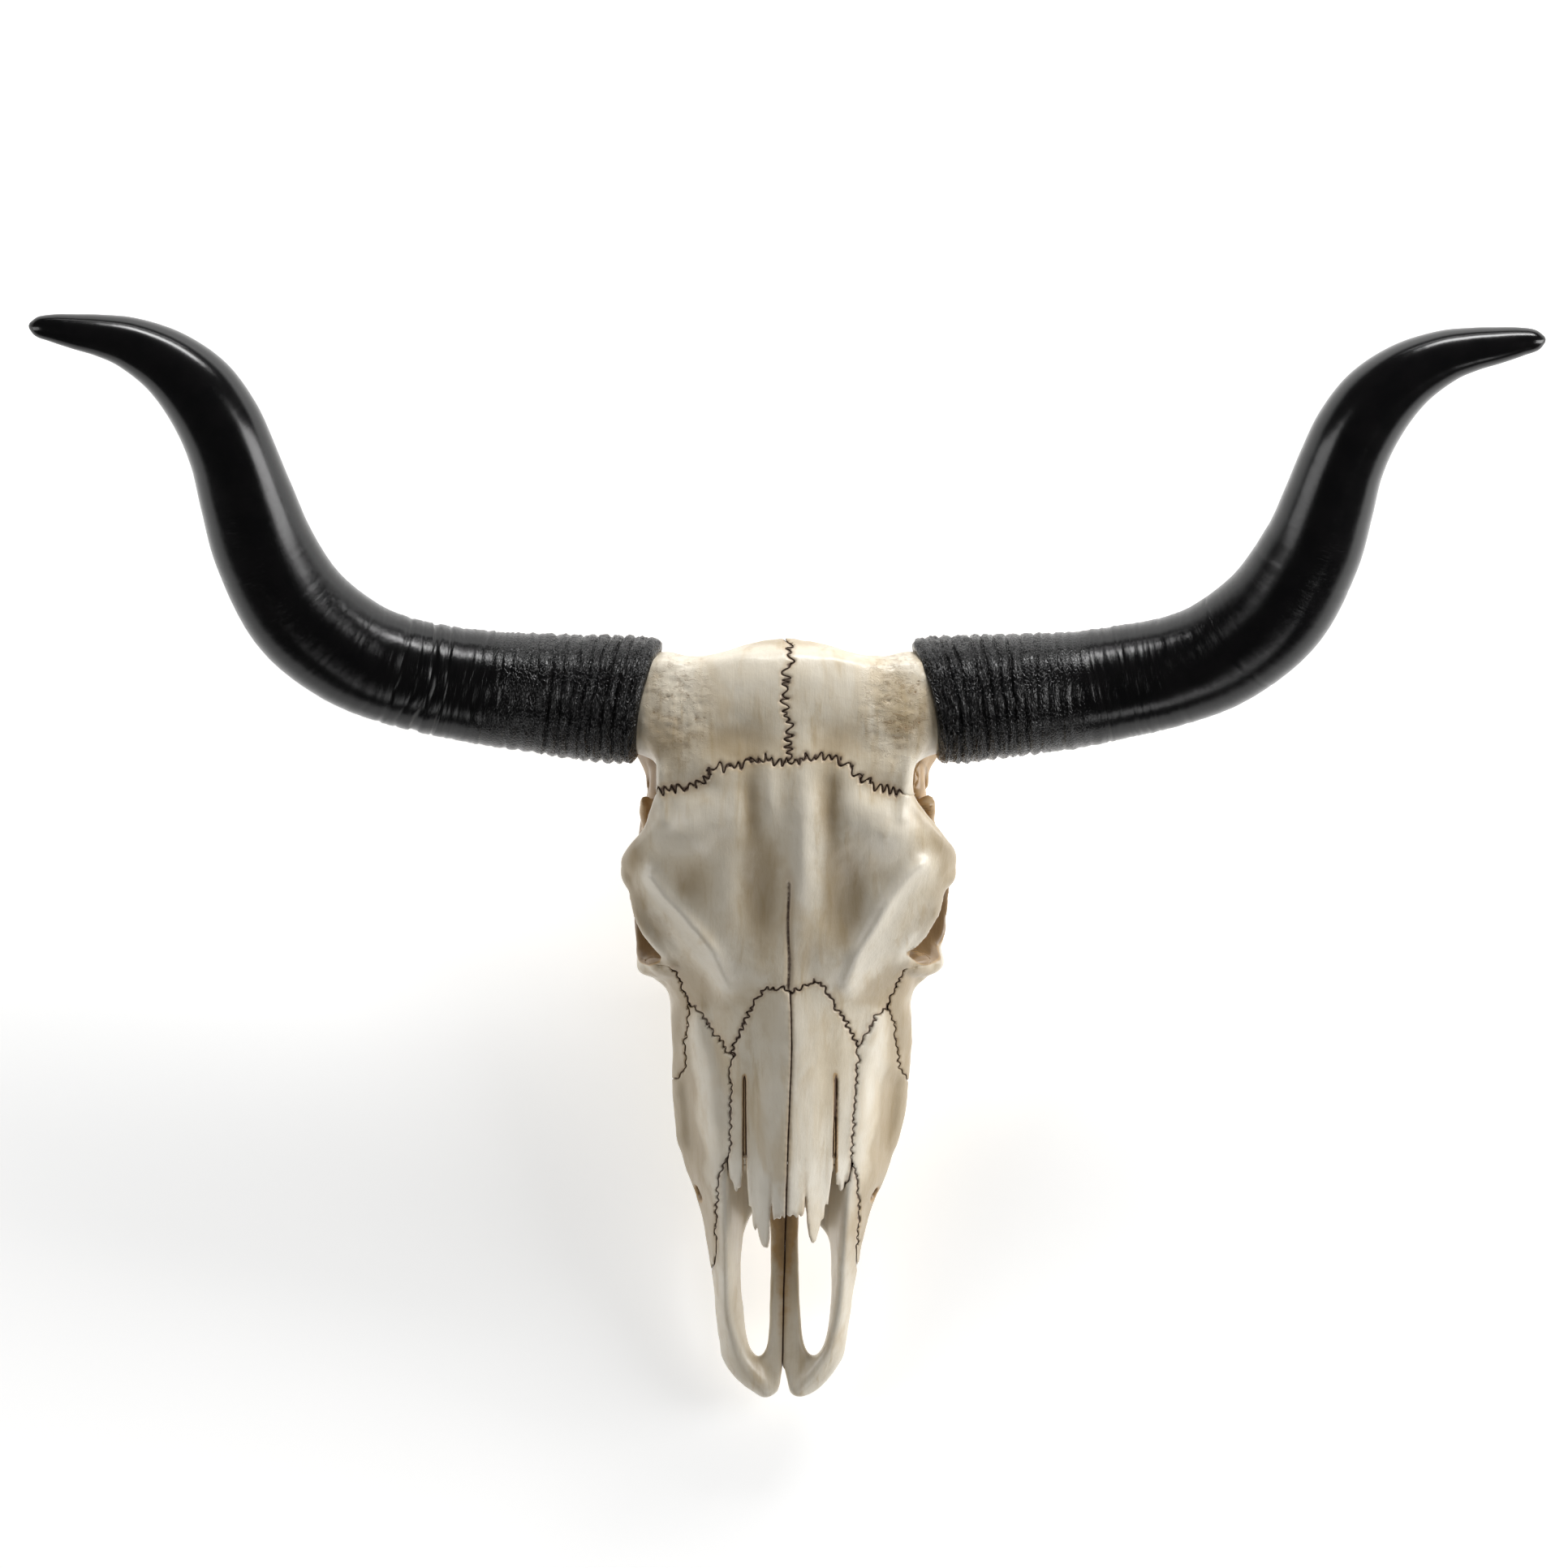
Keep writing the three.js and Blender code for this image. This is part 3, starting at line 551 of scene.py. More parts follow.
def seam(points, swing, pitch=4.6):
    """A zigzag through points of x and u, which starts and ends on its first and last point."""
    points = np.array(points, float)
    run = np.concatenate([[0], np.cumsum(np.hypot(*np.diff(points, axis=0).T))])
    count = max(int(run[-1] / (pitch / 2)), 2)
    at = np.linspace(0, run[-1], count + 1)
    at[1:-1] += dice.uniform(-0.25, 0.25, count - 1) * pitch / 2
    line = np.stack([np.interp(at, run, points[:, k]) for k in (0, 1)], 1)
    ahead = np.gradient(line, axis=0)
    ahead /= np.maximum(np.hypot(*ahead.T), 1e-6)[:, None]
    offset = swing * dice.uniform(0.3, 1.0, count + 1) * np.where(np.arange(count + 1) % 2, 1, -1)
    offset[[0, -1]] = 0
    turn = dice.uniform(-0.45, 0.45, count + 1) * pitch
    turn[[0, -1]] = 0
    line = line + np.stack([-ahead[:, 1], ahead[:, 0]], 1) * offset[:, None] + ahead * turn[:, None]
    for _ in range(2):
        back, front = line[:-1], line[1:]
        middle = np.stack([0.75 * back + 0.25 * front, 0.25 * back + 0.75 * front], 1).reshape(-1, 2)
        line = np.concatenate([line[:1], middle[1:-1], line[-1:]])
    return line


def outline(*lines):
    """One closed outline from several lines, each given forwards."""
    return np.concatenate([np.array(line, float) for line in lines])


def inside(points):
    """The distance to a closed outline in the plan, less than nothing inside it."""
    best = np.full((len(X), len(U)), 1e9, np.float32)
    odd = np.zeros((len(X), len(U)), bool)
    for (x0, u0), (x1, u1) in zip(points, np.roll(points, -1, 0)):
        run = (x1 - x0) ** 2 + (u1 - u0) ** 2
        if run < 1e-9:
            continue
        t = np.clip(((x2 - x0) * (x1 - x0) + (u2 - u0) * (u1 - u0)) / run, 0, 1)
        best = np.minimum(best, (x2 - x0 - t * (x1 - x0)) ** 2 + (u2 - u0 - t * (u1 - u0)) ** 2)
        if u0 != u1:
            crosses = (np.minimum(u0, u1) <= u2) & (u2 < np.maximum(u0, u1))
            odd ^= crosses & (x2 < x0 + (u2 - u0) * (x1 - x0) / (u1 - u0))
    return (np.sqrt(best) * np.where(odd, -1, 1)).astype(np.float32)


mid_seam = seam([(0, 0), (0.5, 20), (-0.5, 44), (0.5, 64), (0, 81.5)], 8.0, 4.8)
cross_right = seam(
    [
        (0, 81.5), (-7.5, 80), (-17, 77.5), (-27, 82.4), (-38, 84), (-48.5, 86), (-55, 92), (-63, 98.6),
        (-72, 99), (-79, 100.5), (-85.5, 103),
    ],
    7.4, 4.4,
)
cross_left = seam(
    [
        (0, 81.5), (8.8, 80), (17, 77.5), (26.7, 80), (36.5, 81), (44.8, 88), (51, 94), (61, 98.6),
        (69, 101), (76, 103),
    ],
    7.4, 4.4,
)
print("points in the seam of the poll:", len(mid_seam))

# %% Seams of the face
nasal_right_edge = seam(
    [(2, 233), (-4, 230), (-15, 229), (-20, 237), (-25, 247), (-29, 255), (-33.5, 264), (-35.7, 276)],
    3.8, 4.4,
)
nasal_left_edge = seam(
    [
        (2, 233), (6, 231), (13, 227.5), (20.5, 225), (25, 231), (32.5, 243), (38.5, 252), (43, 263),
        (46.6, 269),
    ],
    3.8, 4.4,
)
cheek_right_edge = seam(
    [(-35.7, 276), (-38, 284), (-37, 298), (-36.8, 313), (-37.2, 328), (-38.5, 341)], 2.6, 4.6,
)
cheek_left_edge = seam([(46.6, 269), (46, 283), (45, 298), (44, 313), (43, 328), (41.5, 341)], 2.6, 4.6)
tear_right = seam([(-76, 216), (-71, 224.4), (-66, 235), (-63.5, 240.4)], 2.8, 4.4)
tear_left = seam([(78, 217), (72.3, 227), (66.6, 240.4)], 2.8, 4.4)
brow_right = seam([(-63.5, 240.4), (-55, 250), (-46, 262.5), (-35.7, 276)], 3.4, 4.6)
brow_left = seam([(66.6, 240.4), (59, 248), (53, 257.5), (46.6, 269)], 3.4, 4.6)
jaw_right = seam([(-63.5, 240.4), (-65.2, 252), (-66.8, 264), (-67, 275), (-67, 284), (-73, 290)], 2.6, 4.4)
jaw_left = seam([(66.6, 240.4), (70.4, 257.5), (72.3, 273), (74, 284), (78, 291)], 2.6, 4.4)
snout_right = seam([(-38.5, 341), (-42, 347), (-46, 356.6), (-46, 368), (-47, 381), (-46.8, 396)], 2.4, 4.4)
snout_left = seam(
    [(41.5, 341), (45.7, 353), (46.6, 362), (47.2, 375.6), (46.4, 391), (45.6, 402)], 2.4, 4.4,
)
nose_mid = [(2, 233), (2.6, 250), (3, 268), (2.2, 292), (1, 320), (0.2, 345), (-0.4, 362), (-0.8, 379)]
print("points in the seam of the nasal bones:", len(nasal_right_edge) + len(nasal_left_edge))

# %% [markdown]
# The nasal bones are thin plates that reach out over the open nose. Their front edge is ragged:
# each splits into two prongs, with a slit towards a narrow strip at its side.

# %% The nasal plates
right_front = [
    (-38.5, 341), (-38, 351), (-36.8, 359), (-35.6, 355), (-34.6, 363), (-33, 365), (-31.6, 360),
    (-30.6, 362), (-29, 350), (-28.7, 318), (-28.4, 292), (-27.9, 288), (-27.4, 292), (-27.3, 318),
    (-26.6, 350), (-25.6, 366), (-25.2, 377), (-23.6, 374), (-22.6, 385), (-21.4, 390), (-19.8, 386),
    (-18.2, 394), (-16, 400), (-13.2, 401), (-12, 396), (-11.6, 384), (-11.1, 366), (-10.7, 352),
    (-10.2, 366), (-9.8, 376), (-8.6, 383), (-6.6, 380), (-5, 383), (-3.6, 379), (-2, 382), (-0.8, 379),
]
left_front = [
    (41.5, 341), (41, 350), (39.4, 358), (38, 354), (36.6, 363), (34.6, 364), (33.6, 357), (32.4, 360),
    (31.6, 348), (32.2, 318), (32.4, 291), (31.9, 286), (31.4, 291), (30.9, 318), (29.8, 348), (28, 362),
    (26.6, 374), (25, 371), (23.6, 384), (22.2, 381), (20.6, 390), (18.8, 397), (16.6, 399), (14.6, 394),
    (13.4, 384), (12.6, 366), (12, 352), (11.4, 366), (10.8, 377), (9.4, 381), (7.6, 378), (6, 382),
    (4, 378), (2, 381), (-0.8, 379),
]
nasal_right = inside(outline(nasal_right_edge, cheek_right_edge[1:], right_front[1:], nose_mid[::-1][1:-1]))
nasal_left = inside(outline(nasal_left_edge, cheek_left_edge[1:], left_front[1:], nose_mid[::-1][1:-1]))
plate_bottom = smooth(roof, 1.0) - curve([(226, 11), (300, 9), (350, 6.5), (400, 4.2)])(U)
plates = meet(
    np.minimum(nasal_right, nasal_left)[:, :, None] - 0.3, z3 - smooth(roof, 1.0)[:, :, None], 1.0,
)
plates = meet(plates, plate_bottom[:, :, None] - z3, 1)
body = join(body, plates)
print("nasal plates reach u =", max(u for _, u in right_front), "mm")

# %% [markdown]
# Below the open nose, two long slots pierce the front of the palate, and a notch parts the two
# halves of the snout. A groove runs down the middle of the forehead, where its halves met.

# %% Slots, notch and groove
slot_right = [
    (-11.5, 388), (-14, 377), (-22, 377), (-27, 388), (-29, 400), (-30, 415), (-29.6, 440), (-26, 465),
    (-19.5, 476), (-13, 468), (-11.3, 440), (-11.3, 405),
]
slot_left = [
    (8, 388), (8, 376), (13, 376), (20, 387), (26, 393), (29, 405), (29.6, 440), (25.5, 465), (18, 475),
    (11, 468), (8.4, 440), (8, 405),
]
nose_notch = [(-7, 512), (-4.8, 494), (-3.2, 482), (-2, 482), (0.6, 494), (3.4, 512)]


def rounded(points, rounds=3):
    """An outline with its corners cut again and again until they are round."""
    points = np.array(points, float)
    for _ in range(rounds):
        ahead = np.roll(points, -1, 0)
        points = np.stack([0.75 * points + 0.25 * ahead, 0.25 * points + 0.75 * ahead], 1).reshape(-1, 2)
    return points


slots = np.minimum(inside(rounded(slot_right)), inside(rounded(slot_left)))
slot_ceiling = np.minimum(floor_z + 34, plate_bottom - 1)[:, :, None]
body = carve(body, np.maximum(slots[:, :, None], z3 - slot_ceiling), 5)
body = carve(body, inside(nose_notch)[:, :, None] + 0 * z3, 3)
groove = np.hypot(x2 - 0.9 - 0.5 * np.sin(u2 / 8.0), np.maximum(np.abs(u2 - 196) - 34, 0) * 0.4)
body += 1.9 * np.exp(-((groove / 1.2) ** 2))[:, :, None] * (z3 > 120)
body = np.maximum(body, np.abs(x3) - 112)
slit_right = np.hypot(x2 + 28.2, np.maximum(np.abs(u2 - 320) - 32, 0))
slit_left = np.hypot(x2 - 31.8, np.maximum(np.abs(u2 - 319) - 32, 0))
slits = np.minimum(slit_right, slit_left)
# Dark lines along the slits of the nasal plates, and darkness under the plates: painted shadow.
dirt_and_shade = np.minimum(
    dirt_and_shade, np.maximum((slits * 2.4 - 1.6)[:, :, None], (plate_bottom[:, :, None] - z3) / 2 - 1),
)
# Brown on the floor and the bars of the open nose, darker towards the sides and the front: painted shade,
# with some stain.
nose_stain_and_shade = (
    0.5 + 1.3 * np.clip((beside - 1.5) / 6, 0, 1) + 1.5 * np.clip((U - 392) / 50, 0, 1) + 50 * (U < 346)
)
nose_stain_and_shade = nose_stain_and_shade + 1.2 * np.clip((beside - 9) / 5, 0, 1) + np.clip((U - 450) / 20, 0, 1)
dirt_and_shade = np.minimum(dirt_and_shade, np.maximum(nose_stain_and_shade[:, :, None], (z3 - 62) / 3))
print("cells of bone round the slots:", int((body[:, U > 380] < 0).sum()))


# %% [markdown]
# Old bone is never quite smooth. Soft random lumps a centimetre wide stop the light from sliding
# over it as over plastic, and beside the horns, where blood vessels fed them, it is pitted.


# %% Random lumps
def clouds(box, size, seed):
    """Soft random lumps between about -1 and 1, some millimetres wide, for a box of cells."""
    out = np.random.default_rng(seed).normal(size=(90, 220, 90)).astype(np.float32)
    for axis, cells in enumerate((X[box[0]], U[box[1]], Z[box[2]])):
        at = (cells + 150) / size[axis] % (out.shape[0] - 2)
        i = at.astype(int)
        t = at - i
        t = t * t * (3 - 2 * t)
        weight = np.zeros((len(cells), out.shape[0]), np.float32)
        weight[np.arange(len(cells)), i] = 1 - t
        weight[np.arange(len(cells)), i + 1] += t
        low, high = i.min(), i.max() + 2
        out = np.tensordot(weight[:, low:high], out[low:high], 1)
        out = np.moveaxis(out, 0, -1)
    return out


whole = (slice(None),) * 3
body += 0.26 * clouds(whole, (15, 22, 15), 3) + 0.12 * clouds(whole, (5.5, 8, 5.5), 4)
for side in (-1, 1):
    box = near((min(side * 34, side * 104), -6, 135), (max(side * 34, side * 104), 96, 226))
    away = ((np.abs(x3) - 72) / 21) ** 2 + ((u3 - 44) / 38) ** 2
    mask = np.broadcast_to(np.exp(-(away**2)), body.shape)[box]
    pits = clouds(box, (3.0, 2.7, 3.0), 11) + 0.4 * clouds(box, (9, 7, 9), 12)
    wrinkled = clouds(box, (8, 2.7, 7), 13)
    body[box] += mask * (
        0.62 * np.clip(pits - 0.5, 0, 1.2) + 0.3 * wrinkled + 0.14 * clouds(box, (2.6, 2.6, 2.6), 14)
    )
print("pits reach", round(float(mask.max()), 2), "of their depth beside a horn")

# %% [markdown]
# ## A skin for every bone
# To see the clay, we look for the cells that the surface passes through, put one point in each,
# where its edges cross the surface on average, and join the points of the four cells round each
# crossing edge. It is short to write, and gives even, almost square faces that shade well.


# %% The skin of a field
CORNERS = np.array([[i, j, k] for i in (0, 1) for j in (0, 1) for k in (0, 1)])
EDGES = [(a, b) for a in range(8) for b in range(a + 1, 8) if np.abs(CORNERS[a] - CORNERS[b]).sum() == 1]


def skin(field, first):
    """Points in cells counted from first, and faces of four points, of the surface of a field."""
    solid = field < 0
    cells = [n - 1 for n in field.shape]
    count = sum(
        solid[i:i + cells[0], j:j + cells[1], k:k + cells[2]].astype(np.int8) for i, j, k in CORNERS
    )
    crossed = (count > 0) & (count < 8)
    number = np.full(crossed.shape, -1, np.int32)
    at = np.argwhere(crossed)
    number[crossed] = np.arange(len(at))
    value = np.stack([field[tuple((at + c).T)] for c in CORNERS])
    points, hits = np.zeros((len(at), 3)), np.zeros(len(at))
    for a, b in EDGES:
        hit = (value[a] < 0) != (value[b] < 0)
        t = np.where(hit, value[a] / np.where(hit, value[a] - value[b], 1), 0)
        points += hit[:, None] * (CORNERS[a] + t[:, None] * (CORNERS[b] - CORNERS[a]))
        hits += hit
    points = points / hits[:, None] + at + np.array(first)
    faces = []
    for axis in range(3):
        ahead = np.roll([1, 0, 0], axis)
        low = solid[tuple(slice(0, n - d) for n, d in zip(solid.shape, ahead))]
        high = solid[tuple(slice(d, None) for d in ahead)]
        p = np.argwhere(low != high)
        one, two = np.roll([0, 1, 0], axis), np.roll([0, 0, 1], axis)
        p = p[np.all(p >= one + two, 1) & np.all(p + one + two < np.array(solid.shape), 1)]
        out = low[tuple(p.T)]
        ring = np.stack([number[tuple((p - a).T)] for a in (one + two, two, 0 * one, one)], 1)
        faces.append(np.where(out[:, None], ring, ring[:, ::-1]))
    return points, np.concatenate(faces)


def read(field, points):
    """The value of a field at points given in cells."""
    i = np.clip(points.astype(int), 0, np.array(field.shape) - 2)
    t = points - i
    total = 0
    for c in CORNERS:
        weight = np.prod(np.where(c, t, 1 - t), 1)
        total = total + weight * field[tuple((i + c).T)]
    return total


print("edges of a cell:", len(EDGES))


# %% [markdown]
# A mesh needs its points in metres in the frame of the CAD model. We also keep some numbers for
# each point, which the finish reads later: how near it is to a seam, how deep it lies in a small
# or a wide hollow, how much stain and painted shade reached it, how low it lies in the relief,
# for more painted shade, and how pitted it is. Blender calls them attributes.


# %% From points to a piece
def piece(name, points, faces, numbers):
    mesh = bpy.data.meshes.new(name)
    mesh.vertices.add(len(points))
    mesh.vertices.foreach_set("co", (np.asarray(points) / 1000).astype(np.float32).ravel())
    faces = np.asarray(faces)
    size = faces.shape[1]
    mesh.loops.add(faces.size)
    mesh.loops.foreach_set("vertex_index", faces.astype(np.int32).ravel())
    mesh.polygons.add(len(faces))
    mesh.polygons.foreach_set("loop_start", np.arange(0, faces.size, size, dtype=np.int32))
    mesh.update(calc_edges=True)
    mesh.shade_smooth()
    for key, values in numbers.items():
        mesh.attributes.new(key, "FLOAT", "POINT").data.foreach_set("value", np.asarray(values, np.float32))
    made = bpy.data.objects.new(name, mesh)
    bpy.context.scene.collection.objects.link(made)
    return made


def blurred(field, radius):
    """The share of bone around each cell of a coarse block."""
    reach = max(int(round(radius / STEP / 2)), 1)
    for axis in range(3):
        for _ in range(2):
            pads = [(reach + 1, reach) if k == axis else (0, 0) for k in range(3)]
            total = np.cumsum(np.pad(field, pads, "edge"), axis, dtype=np.float32)
            ahead = np.take(total, range(2 * reach + 1, total.shape[axis]), axis)
            behind = np.take(total, range(0, total.shape[axis] - 2 * reach - 1), axis)
            field = (ahead - behind) / (2 * reach + 1)
    return field


# How far each point of the roof lies down in a hollow, plus soft ovals that darken chosen patches: painted
# shade, with some stain, for the finish.
dip = (smooth(roof, 13.0) - smooth(roof, 3.0)) * np.clip((430 - U) / 60, 0, 1)
dip += (
    1.3 * oval(37, 170, 18, 32) + 1.0 * oval(-19, 170, 16, 32) + 1.0 * oval(-26, 208, 16, 12)
    + oval(28, 206, 16, 12)
)
dip += (
    1.2 * oval(-62, 236, 14, 12) + 1.4 * oval(62, 234, 14, 12) + 1.2 * oval(27, 106, 7, 22)
    + 1.1 * oval(-25, 106, 8, 22)
)
dip += (
    2.2 * oval(-76, 64, 13, 15) + 2.4 * oval(74, 62, 14, 16) + 1.8 * oval(-34, 72, 24, 10)
    + oval(34, 72, 22, 9)
)
bone_here = np.clip(0.5 - body[::2, ::2, ::2] / STEP, 0, 1).astype(np.float32)
bone_near, bone_far = blurred(bone_here, 4.5), blurred(bone_here, 13.0)
print("share of bone in the block:", round(float(bone_here.mean()), 3))

# %% [markdown]
# ## The bones part
# Each bone takes its share of the head, inside its own seams, and what is left for the others
# loses a little more than that, so that a groove stays between them. The groove closes 2 mm
# down, or the ground would shine through it.

# %% Plans of the bones
far = 140.0
poll_right = inside(outline([(0, -30)], mid_seam, cross_right[1:], [(-far, 106), (-far, -30)]))
poll_left = inside(outline([(0, -30)], mid_seam, cross_left[1:], [(86, 104), (far, 104), (far, -30)]))
forehead = inside(outline(
    [(-far, 106)], cross_right[::-1], cross_left[1:], [(86, 104), (far, 104), (far, 215), (92, 215)],
    tear_left, brow_left[1:], nasal_left_edge[::-1][1:], nasal_right_edge[1:], brow_right[::-1][1:],
    tear_right[::-1][1:], [(-90, 214), (-far, 214)],
))
snout_mid = [(-0.6, 347), (-0.8, 379), (-1.4, 400), (-2.2, 430), (-2.8, 460), (-3.2, 478), (-3.2, 510)]
right_end = [(-46.6, 404), (-47.6, 412), (-51, 419), (-80, 428), (-80, 530), (-3.2, 530)]
left_end = [(45.4, 410), (46.4, 418), (50, 425), (80, 434), (80, 530), (-3.2, 530)]
snout_plan_right = inside(outline(snout_right, right_end, snout_mid[::-1], [(-34, 347)]))
snout_plan_left = inside(outline(snout_left, left_end, snout_mid[::-1], [(36, 347)]))
cheek_right = inside(outline(tear_right, jaw_right[1:], [(-90, 294), (-far, 294), (-far, 214), (-90, 214)]))
cheek_left = inside(outline(tear_left, jaw_left[1:], [(92, 294), (far, 294), (far, 215), (92, 215)]))


def stitched(corners, swing=1.5):
    """A closed outline with a small zigzag along each of its sides."""
    return outline(*[seam([a, b], swing)[:-1] for a, b in zip(corners, corners[1:] + corners[:1])])


temple = stitched([
    (far, -30), (84, -30), (83, 38), (77, 54), (62, 63), (42, 69), (30, 80), (25, 104), (29, 132),
    (34, 158), (far, 158),
])
palate = inside(stitched([
    (-35, 196), (-38, 222), (-38, 262), (-35, 284), (-26, 294), (-10, 299), (10, 300), (28, 296), (37, 284),
    (38, 262), (38, 222), (35, 196),
]))
body_of_base = inside(stitched([
    (-24, 104), (-35, 158), (-36, 200), (36, 200), (35, 158), (24, 104), (0, 100),
]))
nose_line = curve([(u, x) for x, u in nose_mid])(U)[None, :]
behind = np.where(U < 343, 0.0, 99.0)[None, :]
nasal_share_right = np.minimum(
    nasal_right + behind, np.maximum(nasal_right - 1, x2 - nose_line) - behind + 99,
)
nasal_share_left = np.minimum(nasal_left + behind, np.maximum(nasal_left - 1, nose_line - x2) - behind + 99)
fades_at = 76 + 8.5 * ((x2 < 0) & (u2 < 130))
fading = 1 - np.clip((np.abs(x2) - fades_at) / 2.5, 0, 1) * (np.abs(U - 150) < 72)
print("forehead covers", round(float((forehead < 0).sum() * STEP**2 / 100)), "square centimetres")


# %% Shares in space
def upright(plan, low=-50.0, high=400.0):
    """A plan raised to a wall between two heights."""
    return np.maximum(plan[:, :, None], np.maximum(low - z3, z3 - high))


def mirrored(points, side):
    return [(side * x, u) for x, u in points]


cheek_floor = 45 + 0.19 * np.clip(u3 - 205, 0, 90) + 1.3 * np.sin(u3 / 1.7) + 0.9 * np.sin(u3 / 3.9 + 1)


def cheek(plan, side):
    wave = 1.5 * np.sin(z3 / 2.3)
    lower = inside(mirrored([(57, 150), (far, 150), (far, 232), (71, 230), (57, 222)], side))
    orbital = np.maximum(upright(lower, 40, 117) + wave * (np.abs(u3 - 150) < 12), cheek_floor - z3)
    return np.minimum(np.maximum(plan[:, :, None], cheek_floor - z3), orbital)


forehead_floor = (132 - 32 * np.clip((U - 156) / 5, 0, 1) + 1.4 * np.sin(U / 1.9))[None, :, None]
forehead_floor = forehead_floor + 1.2 * np.sin(x3 / 2.3) + 0.9 * np.sin(x3 / 5.1 + 2)
shares = {
    "nasal_right": lambda: np.maximum(nasal_share_right[:, :, None], plate_bottom[:, :, None] - z3),
    "nasal_left": lambda: np.maximum(nasal_share_left[:, :, None], plate_bottom[:, :, None] - z3),
    "incisive_right": lambda: upright(snout_plan_right),
    "incisive_left": lambda: upright(snout_plan_left),
    "zygomatic_right": lambda: cheek(cheek_right, -1),
    "zygomatic_left": lambda: cheek(cheek_left, 1),
    "frontal": lambda: np.maximum(forehead[:, :, None], forehead_floor - z3),
    "poll_right": lambda: np.maximum(poll_right[:, :, None], forehead_floor - z3),
    "poll_left": lambda: np.maximum(poll_left[:, :, None], forehead_floor - z3),
    "temporal_right": lambda: upright(inside(mirrored(temple, -1)), 20),
    "temporal_left": lambda: upright(inside(mirrored(temple, 1)), 20),
    "palatine": lambda: upright(palate, 0, 100),
    "sphenoid": lambda: upright(body_of_base, 0, 100),
    "occipital": lambda: np.broadcast_to(u3 - 150, body.shape),
    "maxilla_right": lambda: np.broadcast_to(x3 - drift(U)[None, :, None], body.shape),
    "maxilla_left": lambda: np.broadcast_to(0 * body - 50, body.shape),
}
print("bones to cut:", len(shares))

# %% [markdown]
# The bones are cut one after the other. A last small crumb that a cut leaves loose is dropped,
# by keeping only faces that hang together with the largest lump.


# %% Loose crumbs
def largest_lump(points, faces):
    """Keep the biggest of the lumps that the faces form."""
    lump = np.arange(len(points))
    while True:
        lowest = lump[faces].min(1)
        before = lump.copy()
        for k in range(faces.shape[1]):
            np.minimum.at(lump, faces[:, k], lowest)
        lump = lump[lump]
        if (lump == before).all():
            break
    names, counts = np.unique(lump[faces[:, 0]], return_counts=True)
    kept = faces[lump[faces[:, 0]] == names[counts.argmax()]]
    used = np.zeros(len(points), bool)
    used[kept] = True
    number = np.cumsum(used) - 1
    return points[used], number[kept]


# %% Cutting the head apart
def slope(field, points):
    """Which way a field grows fastest at some points, as arrows of length 1."""
    arrows = np.stack([read(field, points + step) - read(field, points - step) for step in np.eye(3)], 1)
    return arrows / np.maximum(np.linalg.norm(arrows, axis=1), 1e-6)[:, None]


def bone_piece(name, field, share):
    filled = np.argwhere(field[::2, ::2, ::2] < 1.5 * STEP)
    low = np.maximum(filled.min(0) * 2 - 3, 0)
    high = np.minimum(filled.max(0) * 2 + 4, field.shape)
    box = tuple(slice(a, b) for a, b in zip(low, high))
    points, faces = largest_lump(*skin(field[box], low))
    x, u, z = (axis[0] + STEP * points[:, k] for k, axis in enumerate((X, U, Z)))
    along = (slope(share, points) * slope(body, points)).sum(1)
    crack = np.abs(read(share, points)) / np.sqrt(np.maximum(1 - along * along, 0.03))
    crack = crack + 4 * (1 - read_plan(fading, points))
    crack = np.minimum(crack, 0.6 * read_plan(groove, points) + 2 * (z < 120))
    pitted = np.exp(-((((np.abs(x) - 72) / 22) ** 2 + ((u - 44) / 39) ** 2) ** 2))
    made = piece(name + "_bone", np.stack([x, POLL_Y - u, z], 1), faces[:, ::-1], {
        "crack": crack,
        "hollow": read(bone_near, points / 2),
        "shelter": read(bone_far, points / 2),
        "dirt_and_shade": read(dirt_and_shade, points),
        "dip": read_plan(dip, points) * np.clip((z - read_plan(top, points) + 16) / 10, 0, 1),
        "pitted": pitted * (z > 130) * np.where(x > 0, 1.0, 0.76),
    })
    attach(made, "root")
    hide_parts(name)
    return made


def read_plan(plan, points):
    return read(plan[:, :, None].repeat(2, 2), points * (1, 1, 0))


GROOVE_DEPTH = 1.7
bones, rest = [], body
near_skin = np.clip(1 + body / GROOVE_DEPTH, 0, 1) * fading[:, :, None]
for name, cut_share in shares.items():
    share = cut_share().astype(np.float32)
    gap = 0.2 * near_skin - 0.35 * (1 - fading[:, :, None])
    bones.append(bone_piece(name, np.maximum(rest, share + gap), share))
    rest = np.maximum(rest, gap - share)
    print(name, len(bones[-1].data.polygons), "faces")

# %% [markdown]
# ## Teeth
# Six cheek teeth stand in each row, three with one lobe and three with two. Each lobe is a pillar
# that bulges outward, with a sharp rib beside it. Grinding wears the tips flat, down to a
# crescent of enamel round a softer pit. They get a finer block of their own.

# %% A row of cheek teeth
FINE = 0.8
TEETH = [
    (230, 247), (247, 263.5), (264, 279), (279, 294), (294.5, 308), (308, 321.5), (322, 337), (337.5, 352),
    (352.5, 366),
]
tooth_outer = curve([(230, 68.5), (300, 66.5), (340, 62.5), (366, 57)])
tooth_inner = curve([(230, 47.5), (366, 46)])
TOOTH_TALL = 33.0


def crescent(a, b, half):
    """The distance to the curved pit in the middle of a lobe, which opens to the cheek."""
    return np.hypot(np.hypot(a - 0.2, b) * half - 0.55 * half, np.maximum(a - 0.35, 0) * half)


